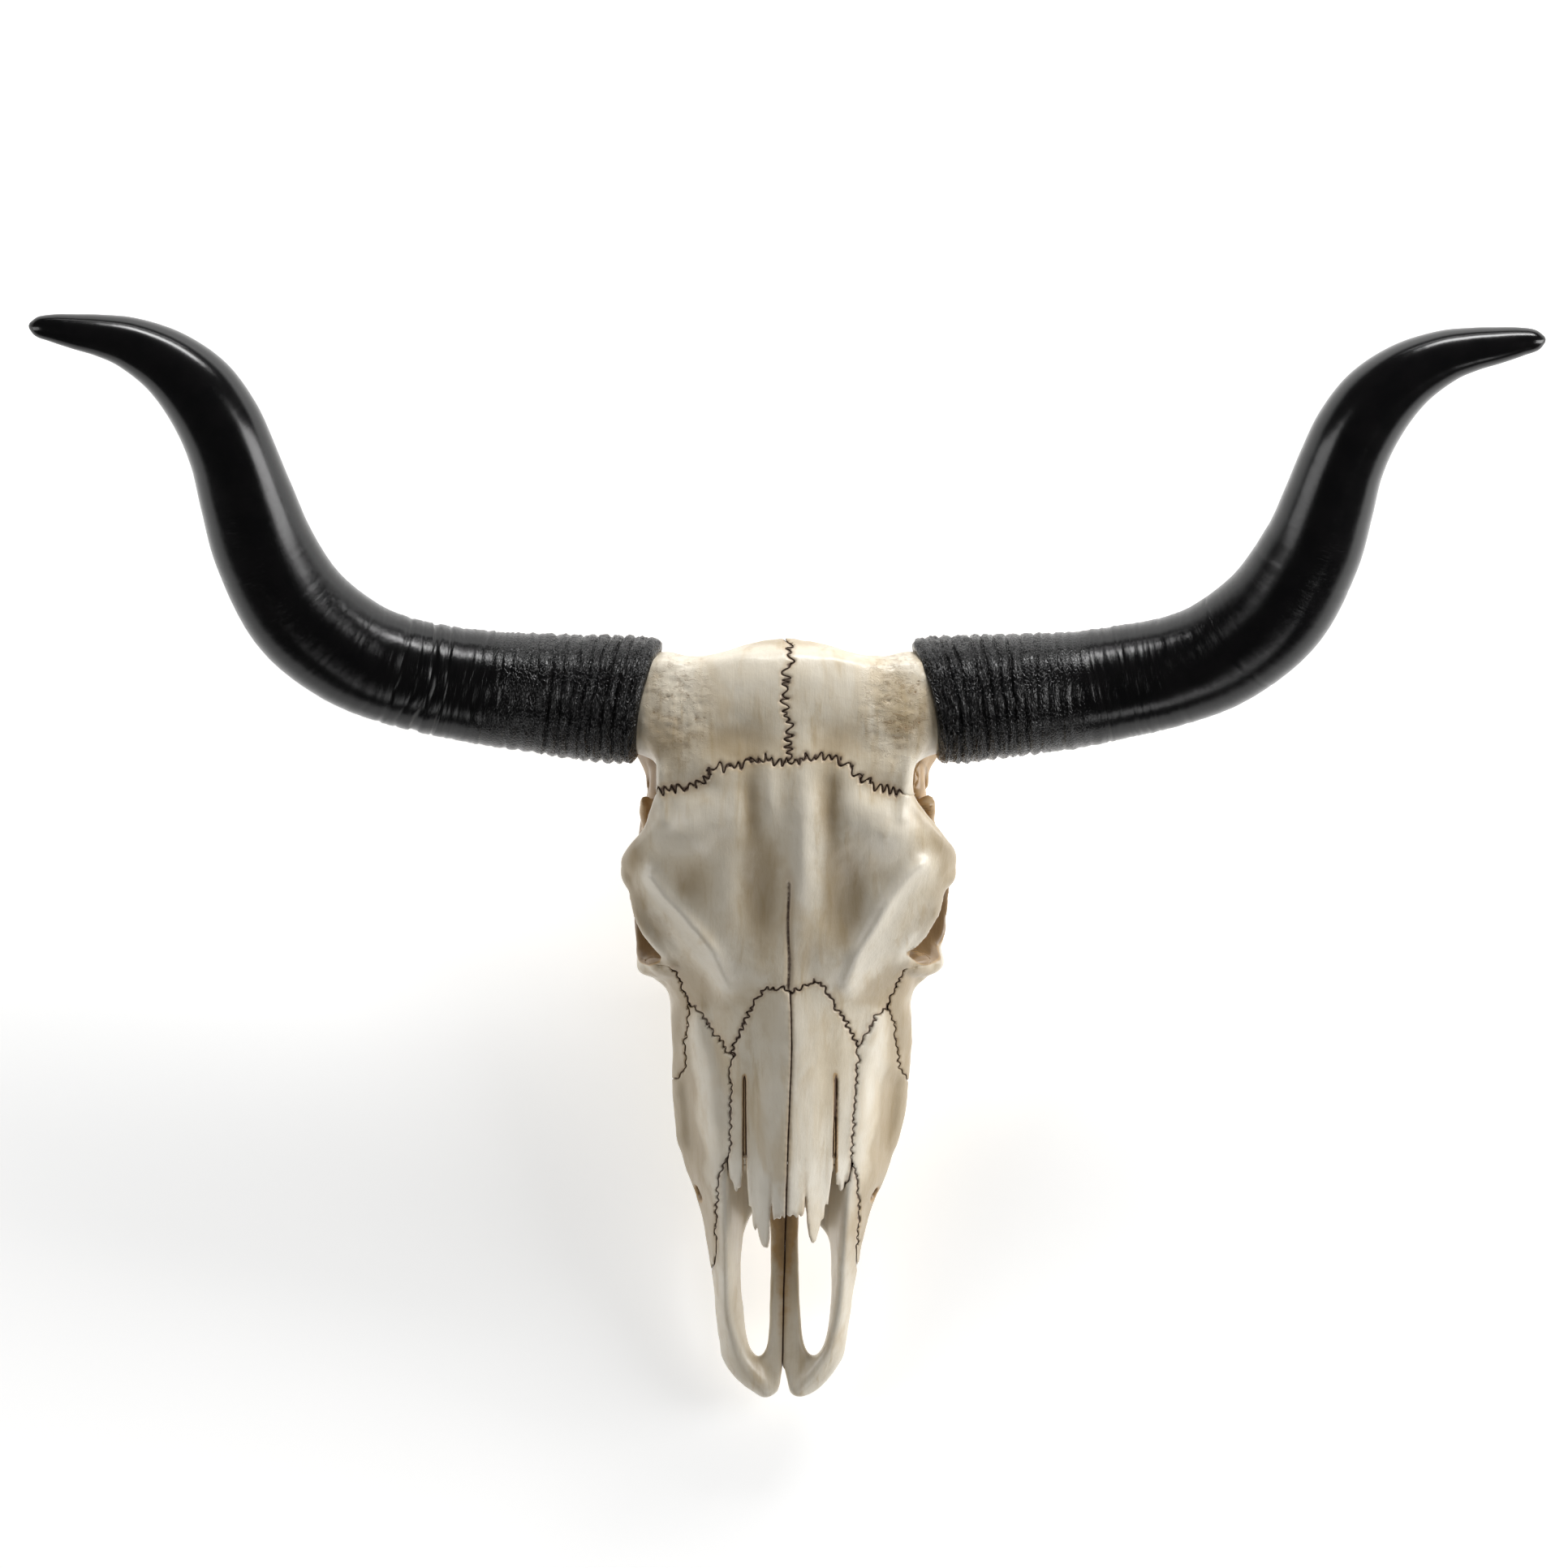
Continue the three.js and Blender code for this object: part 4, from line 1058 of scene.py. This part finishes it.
def tooth_row(side):
    x = np.arange(40, 76, FINE, dtype=np.float32)[:, None, None]
    u = np.arange(226, 370, FINE, dtype=np.float32)[None, :, None]
    z = np.arange(-1.5, TOOTH_TALL + 2, FINE, dtype=np.float32)[None, None, :]
    row = None
    for back, front in TEETH:
        middle, half = (back + front) / 2, (front - back) / 2
        outer, inner = float(tooth_outer(middle)), float(tooth_inner(middle))
        cx, wide = (outer + inner) / 2, (outer - inner) / 2
        slant = (z - 14) * 0.05
        bulge = 0.7 * np.cos(np.pi * np.clip((u - middle) / half, -1, 1)) * np.sign(x - cx)
        a, b = (x - cx - slant - bulge) / wide, (u - middle) / (half + 0.35)
        pillar = ((np.abs(a) ** 3.2 + np.abs(b) ** 3.2) ** (1 / 3.2) - 1) * min(wide, half)
        rib = np.hypot(x - slant - outer + 0.6, u - back - 1.6) - 1.7
        pillar = join(pillar, rib, 1.2)
        grind = 0.2 + 0.7 * b * b + 1.1 * np.clip(1 - np.abs(crescent(a, b, half)) / 0.9, 0, 1)
        pillar = meet(pillar, np.maximum(grind - z, z - TOOTH_TALL), 0.8)
        row = pillar if row is None else join(row, pillar, 0.5)
    points, faces = skin(row.astype(np.float32), (0, 0, 0))
    wear = np.clip((4 - points[:, 2] * FINE) / 1.5, 0, 1)
    gum = np.clip((points[:, 2] * FINE - 22) / 8, 0, 1)
    x, u, z = points.T * FINE + np.array([[40], [226], [-1.5]])
    pit, dentine = np.zeros(len(x)), np.zeros(len(x))
    for back, front in TEETH:
        middle, half = (back + front) / 2, (front - back) / 2
        outer, inner = float(tooth_outer(middle)), float(tooth_inner(middle))
        a, b = (x - (outer + inner) / 2) * 2 / (outer - inner), (u - middle) / half
        mine = np.abs(b) <= 1
        edge = (1 - (np.abs(a) ** 3.2 + np.abs(b) ** 3.2) ** (1 / 3.2)) * half
        pit = np.where(mine, np.clip(1.6 - crescent(a, b, half) / 0.8, 0, 1), pit)
        dentine = np.where(
            mine, np.clip((edge - 1.0) / 0.8, 0, 1) * np.clip(crescent(a, b, half) / 0.8 - 2.2, 0, 1),
            dentine,
        )
    placed = np.stack([side * x + drift(u), POLL_Y - u, np.maximum(z, 0.05)], 1)
    name = "teeth_left" if side > 0 else "teeth_right"
    made = piece(
        name, placed, faces[:, ::-side], {"wear": wear, "gum": gum, "pit": pit, "dentine": dentine},
    )
    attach(made, "root")
    return made


teeth = [tooth_row(side) for side in (-1, 1)]
print("faces in a row of teeth:", len(teeth[0].data.polygons))

# %% [markdown]
# ## Horns
# A horn is a hollow sheath of keratin that grows from its root, a thin new cone each year. The
# growth rings crowd near the skull into cords, and wear smooth past the bend. The sheath is
# swept: one ring after another along a curved line, and each ring's radius swells and sinks with
# the wrinkles.

# %% The line of a horn
HORN_LINE = np.array([
    [90, 41.5, 172, 41.4], [125, 39.5, 170, 41.2], [157, 37, 169, 39.5], [190, 34, 168, 37.6],
    [221, 29, 169, 36.6], [253, 22, 172, 36], [284, 10, 177, 36.2], [319, -17, 188, 36],
    [343, -57, 203, 33.2], [354, -88, 215, 30.6], [363, -116, 226, 28.3], [372, -137, 234, 27.6],
    [386, -158, 242, 26], [406, -176, 250, 21.8], [430, -188, 256, 17.2], [448, -192.5, 259, 14.2],
    [464, -195, 260.5, 12], [480, -197.5, 261.5, 9.2], [491, -198.5, 262, 6], [495, -199, 262, 2],
])


def smooth_line(points, count=900):
    """A smooth line through points, with the distance along it. The same kind as in the CAD."""
    out = []
    padded = np.concatenate([[2 * points[0] - points[1]], points, [2 * points[-1] - points[-2]]])
    for p0, p1, p2, p3 in zip(padded, padded[1:], padded[2:], padded[3:]):
        d = [max(np.linalg.norm((b - a)[:3]) ** 0.5, 1e-4) for a, b in ((p0, p1), (p1, p2), (p2, p3))]
        m1 = ((p1 - p0) / d[0] - (p2 - p0) / (d[0] + d[1]) + (p2 - p1) / d[1]) * d[1]
        m2 = ((p2 - p1) / d[1] - (p3 - p1) / (d[1] + d[2]) + (p3 - p2) / d[2]) * d[1]
        t = np.linspace(0, 1, 40, endpoint=False)[:, None]
        out.append(
            (2 * t**3 - 3 * t**2 + 1) * p1 + (t**3 - 2 * t**2 + t) * m1 + (3 * t**2 - 2 * t**3) * p2
            + (t**3 - t**2) * m2
        )
    out = np.concatenate(out + [points[-1:]])
    along = np.concatenate([[0], np.cumsum(np.linalg.norm(np.diff(out[:, :3], axis=0), axis=1))])
    return along, out


along, horn_line = smooth_line(HORN_LINE)
HORN_LENGTH = float(along[-1])
print("a horn is", round(HORN_LENGTH), "mm long")


# %% Wrinkles
def ripple(at, turn, seed, pitch, around):
    """Random swellings of a ring: pitch is their width along the horn, around how many in a turn."""
    table = np.random.default_rng(seed).normal(size=(1200, around)).astype(np.float32)
    a, b = np.broadcast_arrays(at / pitch + 40, turn * around)
    i, j = np.floor(a).astype(int), np.floor(b).astype(int)
    s, t = a - i, b - j
    s, t = s * s * (3 - 2 * s), t * t * (3 - 2 * t)

    def corner(di, dj):
        return table[(i + di) % 1200, (j + dj) % around]

    return (
        (corner(0, 0) * (1 - s) + corner(1, 0) * s) * (1 - t)
        + (corner(0, 1) * (1 - s) + corner(1, 1) * s) * t
    )


def fade(at, start, end):
    """1 before the start, 0 past the end, both in millimetres along the horn."""
    return np.clip((end - at) / (end - start), 0, 1) ** 1.5


def wrinkles(at, turn, seed):
    """How far the skin of the horn stands out of its smooth shape, in millimetres."""
    waved = at + 1.0 * ripple(at, turn, seed, 14, 7) + 0.5 * ripple(at, turn, seed + 1, 6, 26)
    cords = np.abs(np.sin(np.pi * (waved + 0.9 * ripple(at, turn * 0, seed + 2, 12, 3)) / 8.2)) ** 0.5 - 0.7
    rough = ripple(waved, turn, seed + 3, 1.5, 24) + 0.7 * ripple(waved, turn, seed + 4, 0.9, 60)
    rings = ripple(waved, turn, seed + 5, 2.6, 5) + 0.6 * ripple(waved, turn, seed + 6, 1.3, 9)
    out = (
        cords * (2.3 * fade(at, 50, 150) * np.clip((at - 5) / 8, 0.2, 1))
        + rough * (0.34 * fade(at, 20, 100) + 0.05 * fade(at, 60, 220))
    )
    out = out + rings * (0.20 * fade(at, 90, 190) + 0.07 * fade(at, 150, 330) + 0.015)
    growth = np.maximum(ripple(waved, turn * 0, seed + 7, 3.0, 2) - 1.0, 0) * 0.8
    growth = growth * fade(at, 160, 330) * np.clip((at - 60) / 50, 0, 1)
    return out - growth + 0.35 * ripple(at, turn, seed + 8, 45, 5) * np.clip(at / 60, 0, 1)


print("deepest wrinkle:", round(float(wrinkles(np.linspace(8, 60, 400), 0.0, 5).min()), 2), "mm")


# %% Rings of a horn
def carried(ahead):
    """An arrow across the line for each ring, carried from the root so that it never spins."""
    arrow = np.array([0, 1.0, 0]) - ahead[0] * ahead[0, 1]
    arrow /= np.linalg.norm(arrow)
    arrows = np.empty_like(ahead)
    for k in range(len(ahead)):
        arrow = arrow - ahead[k] * (arrow @ ahead[k])
        arrow /= np.linalg.norm(arrow)
        arrows[k] = arrow
    return arrows


def horn_rings(side):
    """The points of a horn, ring by ring, and where each lies on the unbent horn."""
    rings, columns = ((560, 136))
    pace = np.interp(np.linspace(0, 1, rings), [0, 0.25, 0.5, 0.8, 1], [0.5, 0.62, 1.1, 2.6, 1.6])
    pace = np.cumsum(pace)
    at = (pace - pace[0]) / (pace[-1] - pace[0]) * HORN_LENGTH
    x, u, z, r = [np.interp(at, along, horn_line[:, k]) for k in range(4)]
    lift = np.clip(-u / 200, 0, 1)
    lift = side * 4.5 * lift * lift * (3 - 2 * lift)
    line = np.stack([side * x, POLL_Y - u - lift, z], 1)
    ahead = np.gradient(line, at, axis=0)
    ahead /= np.linalg.norm(ahead, axis=1)[:, None]
    up = carried(ahead)
    across = np.cross(ahead, up)
    turn = np.arange(columns)[None, :] / columns
    c, s = np.cos(2 * np.pi * turn)[..., None], np.sin(2 * np.pi * turn)[..., None]
    seed = 100 if side < 0 else 200
    end = np.sqrt(np.clip((HORN_LENGTH - at) / 9, 0, 1))[:, None]
    out = r[:, None] + wrinkles(at[:, None], turn, seed) * np.minimum(1, end)
    lip = np.sqrt(np.clip(1 - (1 - np.clip(at / 6.5, 0, 1)) ** 2, 0, 1))[:, None]
    out = out - 5.0 * (1 - lip)
    slide = np.clip(1 - at / 70, 0, 1)[:, None, None] * (3.5 * (1 - c * c) - 0.165 * out[..., None] * c)
    points = line[:, None] + out[..., None] * (up[:, None] * c + across[:, None] * s)
    points = points + slide * ahead[:, None]
    grain = np.stack([at[:, None] + 0 * turn, out * c[..., 0], out * s[..., 0]], -1)
    return points, grain, ahead


print("rings of a horn:", len(horn_rings(1)[0]))


# %% Closing a horn
def horn(side):
    """The points, four-sided and three-sided faces of a horn, closed at its root and its tip."""
    points, grain, ahead = horn_rings(side)
    columns = points.shape[1]
    first = points[0]
    caps, grains = [], []
    for share, depth in ((0.97, 0.3), (0.93, 1.6), (0.9, 4.0), (0.6, 4.5), (0.3, 4.5)):
        caps.append(first * share + first.mean(0) * (1 - share) + ahead[0] * depth)
        grains.append(grain[0])
    points = np.concatenate([np.array(caps[::-1]), points])
    grain = np.concatenate([np.array(grains[::-1]), grain])
    count = len(points)
    verts = np.concatenate([
        points.reshape(-1, 3), [points[0].mean(0)], [points[-1].mean(0) + ahead[-1] * 0.6],
    ])
    grain = np.concatenate([grain.reshape(-1, 3), [grain[0, 0]], [grain[-1, 0]]])
    i, j = np.meshgrid(np.arange(count - 1), np.arange(columns), indexing="ij")
    here, beyond, k = i * columns, (i + 1) * columns, (j + 1) % columns
    quads = np.stack([here + j, beyond + j, beyond + k, here + k], -1).reshape(-1, 4)
    j, k = np.arange(columns), (np.arange(columns) + 1) % columns
    last = (count - 1) * columns
    ends = np.concatenate([
        np.stack([j, k, 0 * j + len(verts) - 2], 1),
        np.stack([last + k, last + j, 0 * j + len(verts) - 1], 1),
    ])
    return verts, quads, ends, grain


def horn_piece(side):
    verts, quads, ends, grain = horn(side)
    name = "horn_left" if side > 0 else "horn_right"
    mesh = bpy.data.meshes.new(name)
    mesh.from_pydata((verts / 1000).tolist(), [], quads[:, ::-1].tolist() + ends[:, ::-1].tolist())
    mesh.shade_smooth()
    mesh.attributes.new("grain", "FLOAT_VECTOR", "POINT").data.foreach_set(
        "vector", grain.astype(np.float32).ravel(),
    )
    made = bpy.data.objects.new(name + "_sheath", mesh)
    bpy.context.scene.collection.objects.link(made)
    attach(made, "root")
    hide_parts(name)
    return made


horns = [horn_piece(side) for side in (-1, 1)]
print("faces in a horn:", len(horns[0].data.polygons))

# %% [markdown]
# ## Finishes
# A finish is written as a sum: this colour here, that one there. One small class lets us write
# the sum in Python, and adds the Math nodes for us. Everything that isn't plain arithmetic goes
# through its node method.


# %% Writing a finish as a sum
class Wire:
    """What comes out of one socket of a material. Python's operators add its Math nodes."""

    def __init__(self, socket):
        self.socket = socket

    def node(self, kind, settings=None, sockets=None, output=0):
        tree = self.socket.id_data
        made = tree.nodes.new(kind)
        for key, value in (settings or {}).items():
            setattr(made, key, value)
        for key, value in (sockets or {}).items():
            if isinstance(value, Wire):
                tree.links.new(value.socket, made.inputs[key])
            else:
                made.inputs[key].default_value = value
        return Wire(made.outputs[output])

    def math(self, operation, *values):
        return self.node("ShaderNodeMath", {"operation": operation}, dict(enumerate((self, *values))))

    def __add__(self, other):
        return self.math("ADD", other)

    def __sub__(self, other):
        return self.math("SUBTRACT", other)

    def __rsub__(self, other):
        return self.node("ShaderNodeMath", {"operation": "SUBTRACT"}, {0: other, 1: self})

    def __mul__(self, other):
        return self.math("MULTIPLY", other)

    def between(self, low, high):
        """0 below low and 1 above high, with a soft step from one to the other."""
        return self.node(
            "ShaderNodeMapRange", {"interpolation_type": "SMOOTHSTEP"},
            {"Value": self, "From Min": low, "From Max": high, "To Min": 0.0, "To Max": 1.0},
        )

    def tinted(self, colour, amount):
        """This colour, with some of another one mixed in."""
        return self.node("ShaderNodeMix", {"data_type": "RGBA"}, {0: amount, 6: self, 7: colour}, 2)

    __radd__, __rmul__ = __add__, __mul__


def shade(red, green, blue):
    """A colour as a paint card names it, from 0 to 255, in the linear light that nodes use."""
    card = [value / 255 for value in (red, green, blue)]
    return (*[c / 12.92 if c <= 10 / 255 else ((c + 0.055) / 1.055) ** 2.4 for c in card], 1.0)


def noise(start, place, scale, detail=3.0, roughness=0.5, distortion=0.0):
    return start.node("ShaderNodeTexNoise", None, {
        "Vector": place, "Scale": scale, "Detail": detail, "Roughness": roughness, "Distortion": distortion,
    })


def stretched(start, place, x, y, z):
    return start.node("ShaderNodeVectorMath", {"operation": "MULTIPLY"}, {0: place, 1: (x, y, z)})


def number(start, name):
    """A number that was kept for each point of the mesh."""
    return start.node("ShaderNodeAttribute", {"attribute_name": name}, None, "Fac")


def new_finish(name, **plain):
    """A material, the shader in it and a wire to start from: the place on the skull in metres."""
    material = bpy.data.materials.new(name)
    material.use_nodes = True
    shader = material.node_tree.nodes["Principled BSDF"]
    for key, value in plain.items():
        shader.inputs[key.replace("_", " ")].default_value = value
    place = Wire(material.node_tree.nodes.new("ShaderNodeTexCoord").outputs["Object"])
    return material, shader, place


def connect(shader, **wires):
    for key, wire in wires.items():
        shader.id_data.links.new(wire.socket, shader.inputs[key.replace("_", " ")])


print("colours of ivory:", shade(236, 226, 208))

# %% [markdown]
# Old bone is ivory, not white. Fat and dust have stained it, and a near-black line fills each
# suture. The warm brown in hollows, creases, sockets and beside the seams is stain and painted
# shade, darkest where much bone closes round a point. Edges that hands have touched are paler, and
# the ridges get a painted highlight. A faint long grain follows the face, and the whole has a soft
# waxed sheen.

# %% Bone
bone_finish, shader, place = new_finish("old_bone", Specular_IOR_Level=0.5, Coat_Roughness=0.26)
crack, hollow = number(place, "crack"), number(place, "hollow")
shelter, pitted = number(place, "shelter"), number(place, "pitted")
dirt_and_shade_depth = number(place, "dirt_and_shade")
patches = noise(place, place, 24.0, 4.0, 0.55, 0.6)
mottle = noise(place, place, 95.0, 4.0, 0.6)
speck = noise(place, place, 420.0, 3.0, 0.6)
fibre = noise(place, stretched(place, place, 520.0, 55.0, 520.0), 1.0, 3.0, 0.6)
streaks = noise(place, stretched(place, place, 150.0, 17.0, 60.0), 1.0, 4.0, 0.62, 0.5)
broad = noise(place, stretched(place, place, 44.0, 13.0, 30.0), 1.0, 3.0, 0.55, 0.6)
# Masks of painted shade, each with some stain: in wide hollows, in the hollows of the relief, and in
# creases. Another marks ridges for a painted highlight.
stain_and_shade = (shelter + (patches - 0.5) * 0.16 + (mottle - 0.5) * 0.08).between(0.56, 0.80)
wash_and_shade = (number(place, "dip") + (patches - 0.5) * 2.4 + (mottle - 0.5) * 0.8).between(-0.6, 2.6)
proud = (0.0 - number(place, "dip") + (patches - 0.5) * 1.2).between(0.2, 2.2)
crevice = (hollow + (mottle - 0.5) * 0.22).between(0.58, 0.80)
worn = (0.5 - hollow + (patches - 0.5) * 0.1).between(0.02, 0.2)
veins = noise(place, stretched(place, place, 150.0, 330.0, 200.0), 1.0, 4.0, 0.7, 1.2)
holes = place.node("ShaderNodeTexVoronoi", None, {"Vector": place, "Scale": 210.0}, "Distance")
rough = pitted * veins.between(0.5, 0.62)
rust = pitted * (
    (mottle * 0.6 + veins * 0.7).between(0.64, 0.76) * 0.75
    + (1 - holes.between(0.10, 0.24)) * mottle.between(0.45, 0.6)
)
line = 1 - (crack + (mottle - 0.5) * 0.6).between(0.25, 0.9)
halo = 1 - (crack + (mottle - 0.5) * 1.4).between(0.6, 3.4)
print("noises and masks of the bone:", sum("Noise" in n.bl_idname for n in bone_finish.node_tree.nodes))

# %% Colours of the bone
colour = place.node("ShaderNodeMix", {"data_type": "RGBA"}, {
    0: patches.between(0.3, 0.7), 6: shade(230, 220, 200), 7: shade(222, 208, 182),
}, 2)
colour = colour.tinted(shade(204, 186, 154), (mottle.between(0.5, 0.75)) * 0.3)
# Paler on worn edges, and on ridges as a painted highlight.
colour = colour.tinted(shade(240, 233, 218), (worn * 0.5 + proud * 0.4))
colour = colour.tinted(shade(206, 190, 160), fibre.between(0.52, 0.75) * 0.18)
colour = colour.tinted(shade(196, 174, 136), streaks.between(0.48, 0.74) * 0.6 * (1 - proud))
colour = colour.tinted(shade(206, 184, 146), broad.between(0.5, 0.72) * 0.5)
# Darker in the hollows of the relief and in chosen patches: painted shade, with some stain.
colour = colour.tinted(shade(172, 150, 114), wash_and_shade * (0.5 + streaks * 0.35))
# Brown in wide hollows, then tan and dark brown on carved walls and in sockets, darkest where much bone
# closes round a point: stain and painted shade.
socket = 1 - (dirt_and_shade_depth + (mottle - 0.5) * 2.0 + (patches - 0.5) * 1.4).between(-0.2, 3.4)
colour = colour.tinted(shade(168, 134, 92), stain_and_shade * 0.8)
colour = colour.tinted(shade(194, 158, 108), socket.between(0.0, 0.6) * 0.92)
colour = colour.tinted(
    shade(74, 48, 28), socket.between(0.6, 1.0) * (0.42 + shelter.between(0.58, 0.8) * 0.55),
)
# Brown in creases and small hollows: painted shade, with some stain.
colour = colour.tinted(shade(150, 118, 78), crevice * 0.6)
# Only the pits on the left side (x above 0) get this darker tan.
colour = colour.tinted(shade(168, 148, 112), pitted.between(0.74, 1.0) * (0.3 + mottle * 0.4))
colour = colour.tinted(shade(134, 104, 62), rust * 0.6)
# A brown band beside each seam: painted shade, with some stain.
colour = colour.tinted(shade(176, 148, 110), halo * 0.4)
colour = colour.tinted(shade(76, 52, 38), line * 0.9)
height = mottle * 0.5 + speck * 0.14 + fibre * 0.3 + streaks * 0.5 + rough * 1.3 - rust * 0.8 - line * 0.4
bump = place.node("ShaderNodeBump", None, {"Height": height, "Strength": 0.4, "Distance": 0.0012})
connect(
    shader, Base_Color=colour, Normal=bump,
    Roughness=0.3 + mottle * 0.16 + stain_and_shade * 0.22 + line * 0.3, Coat_Weight=0.34 * (1 - stain_and_shade) * (1 - line),
)
for made in bones:
    made.data.materials.append(bone_finish)
print("bones finished:", len(bones))

# %% [markdown]
# Teeth are paler and glassier than bone, with brown stain in the grooves near the socket and on
# the ground faces.

# %% Teeth
tooth_finish, shader, place = new_finish("tooth_enamel", Roughness=0.32, Specular_IOR_Level=0.5)
wear, gum = number(place, "wear"), number(place, "gum")
pit, dentine = number(place, "pit"), number(place, "dentine")
streak = noise(place, stretched(place, place, 260.0, 260.0, 40.0), 1.0, 4.0, 0.6)
spots = noise(place, place, 240.0, 3.0, 0.6)
colour = place.node("ShaderNodeMix", {"data_type": "RGBA"}, {
    0: streak.between(0.4, 0.65), 6: shade(228, 218, 192), 7: shade(196, 176, 136),
}, 2)
colour = colour.tinted(shade(120, 88, 54), gum * (0.4 + 0.5 * spots))
colour = colour.tinted(shade(172, 140, 94), wear * dentine * (0.55 + spots * 0.5))
colour = colour.tinted(shade(66, 46, 30), wear * pit * 0.9)
bump = place.node(
    "ShaderNodeBump", None, {"Height": streak + spots * 0.3, "Strength": 0.3, "Distance": 0.0006},
)
connect(shader, Base_Color=colour, Normal=bump)
for made in teeth:
    made.data.materials.append(tooth_finish)
print("rows of teeth finished:", len(teeth))

# %% [markdown]
# The sheath is black horn with a waxed gloss. Dust has settled in the cords near the skull and
# turned them grey-brown, fine scratches run round the horn, and the tip is polished.

# %% Horn
horn_finish, shader, place = new_finish("black_horn", Specular_IOR_Level=0.33, Coat_Roughness=0.16)
grain = place.node("ShaderNodeAttribute", {"attribute_name": "grain"}, None, "Vector")
where = place.node("ShaderNodeSeparateXYZ", None, {"Vector": grain}, 0)
hair_lines = noise(place, stretched(place, grain, 1.5, 0.07, 0.07), 1.0, 4.0, 0.65, 0.3)
scratches = noise(place, stretched(place, grain, 4.2, 0.10, 0.10), 1.0, 2.0, 0.6, 0.5)
cloudy = noise(place, grain, 0.05, 4.0, 0.6)
dust = noise(place, grain, 0.5, 4.0, 0.65)
near_skull = 1 - where.between(30.0, 130.0)
past_bend = where.between(200.0, 400.0)
crackle = place.node("ShaderNodeTexVoronoi", {"feature": "DISTANCE_TO_EDGE"}, {
    "Vector": stretched(place, grain, 0.62, 0.30, 0.30), "Scale": 1.0,
}, "Distance").between(0.0, 0.22)
colour = place.node("ShaderNodeMix", {"data_type": "RGBA"}, {
    0: cloudy.between(0.35, 0.65), 6: shade(6, 6, 7), 7: shade(11, 10, 11),
}, 2)
colour = colour.tinted(shade(50, 43, 38), near_skull * dust.between(0.45, 0.7) * 0.14)
colour = colour.tinted(shade(84, 78, 74), scratches.between(0.68, 0.80) * 0.12 * (1 - past_bend * 0.6))
height = (
    hair_lines * (0.35 + near_skull * 0.3 - past_bend * 0.25) + scratches * (0.2 - past_bend * 0.14)
    + crackle * near_skull * 1.3
)
bump = place.node("ShaderNodeBump", None, {"Height": height, "Strength": 0.65, "Distance": 0.0006})
connect(
    shader, Base_Color=colour, Normal=bump, Roughness=0.13 + cloudy * 0.12,
    Coat_Weight=0.05 + past_bend * 0.2,
)
for made in horns:
    made.data.materials.append(horn_finish)
print("horns finished:", len(horns))

# %% [markdown]
# ## Floor, light and camera
# The skull lies on a plain pale floor. The main light is a wide soft panel beyond the poll, low
# enough to rake over the forehead, with fainter panels at the sides. The camera hangs far above
# and looks straight down through a long lens, which keeps the raised tips of the horns in scale.

# %% Floor
mesh = bpy.data.meshes.new("floor")
mesh.from_pydata([(-4, -4, 0), (4, -4, 0), (4, 4, 0), (-4, 4, 0)], [], [(0, 1, 2, 3)])
floor = bpy.data.objects.new("floor", mesh)
bpy.context.scene.collection.objects.link(floor)
floor_finish, shader, place = new_finish(
    "pale_floor", Roughness=0.9, Specular_IOR_Level=0.1, Emission_Color=(1.0, 1.0, 1.0, 1.0),
    Emission_Strength=0.5,
)
tone = noise(place, place, 1.2, 2.0)
colour = place.node("ShaderNodeMix", {"data_type": "RGBA"}, {
    0: tone, 6: shade(243, 243, 242), 7: shade(246, 246, 245),
}, 2)
connect(shader, Base_Color=colour)
floor.data.materials.append(floor_finish)
print("floor:", [round(side, 1) for side in floor.dimensions], "m")


# %% Light
def panel(name, place, size, power, aim=(0, 0, 0.1)):
    light = bpy.data.lights.new(name, "AREA")
    light.shape, light.size, light.size_y, light.energy = "RECTANGLE", size[0], size[1], power
    lamp = bpy.data.objects.new(name, light)
    lamp.location = place
    lamp.rotation_euler = (Vector(aim) - Vector(place)).to_track_quat("-Z", "Y").to_euler()
    bpy.context.scene.collection.objects.link(lamp)


panel("light_far", (0.5, 1.8, 0.98), (1.5, 0.32), 34, (0, 0, 0.15))
panel("light_rim", (0.2, 2.3, 0.6), (2.0, 0.12), 4, (0, 0, 0.2))
panel("light_right", (1.9, 0.1, 0.8), (0.7, 1.6), 27, (0, 0, 0.15))
panel("light_left", (-1.9, 0.0, 0.9), (0.7, 1.6), 11, (0, 0, 0.15))
panel("light_near", (0.3, -1.9, 1.1), (1.6, 0.5), 7, (0, 0, 0.15))
world = bpy.data.worlds.new("studio")
world.use_nodes = True
world.node_tree.nodes["Background"].inputs["Color"].default_value = (1.0, 1.0, 1.0, 1.0)
world.node_tree.nodes["Background"].inputs["Strength"].default_value = 0.06
bpy.context.scene.world = world
bpy.context.scene.view_settings.view_transform = "Standard"

# %% Camera
HEIGHT, FRAME_WIDE, SENSOR = 20.0, 1.030, 36.0
camera = bpy.data.cameras.new("camera")
camera.sensor_width = SENSOR
camera.lens = SENSOR * (HEIGHT - 0.15) / FRAME_WIDE
camera.clip_end = 60.0
eye = bpy.data.objects.new("camera", camera)
eye.location = (-0.0021, 0.049, HEIGHT)
bpy.context.scene.collection.objects.link(eye)
bpy.context.scene.camera = eye
print("lens:", round(camera.lens), "mm")

# %% The end
bpy.context.view_layer.update()
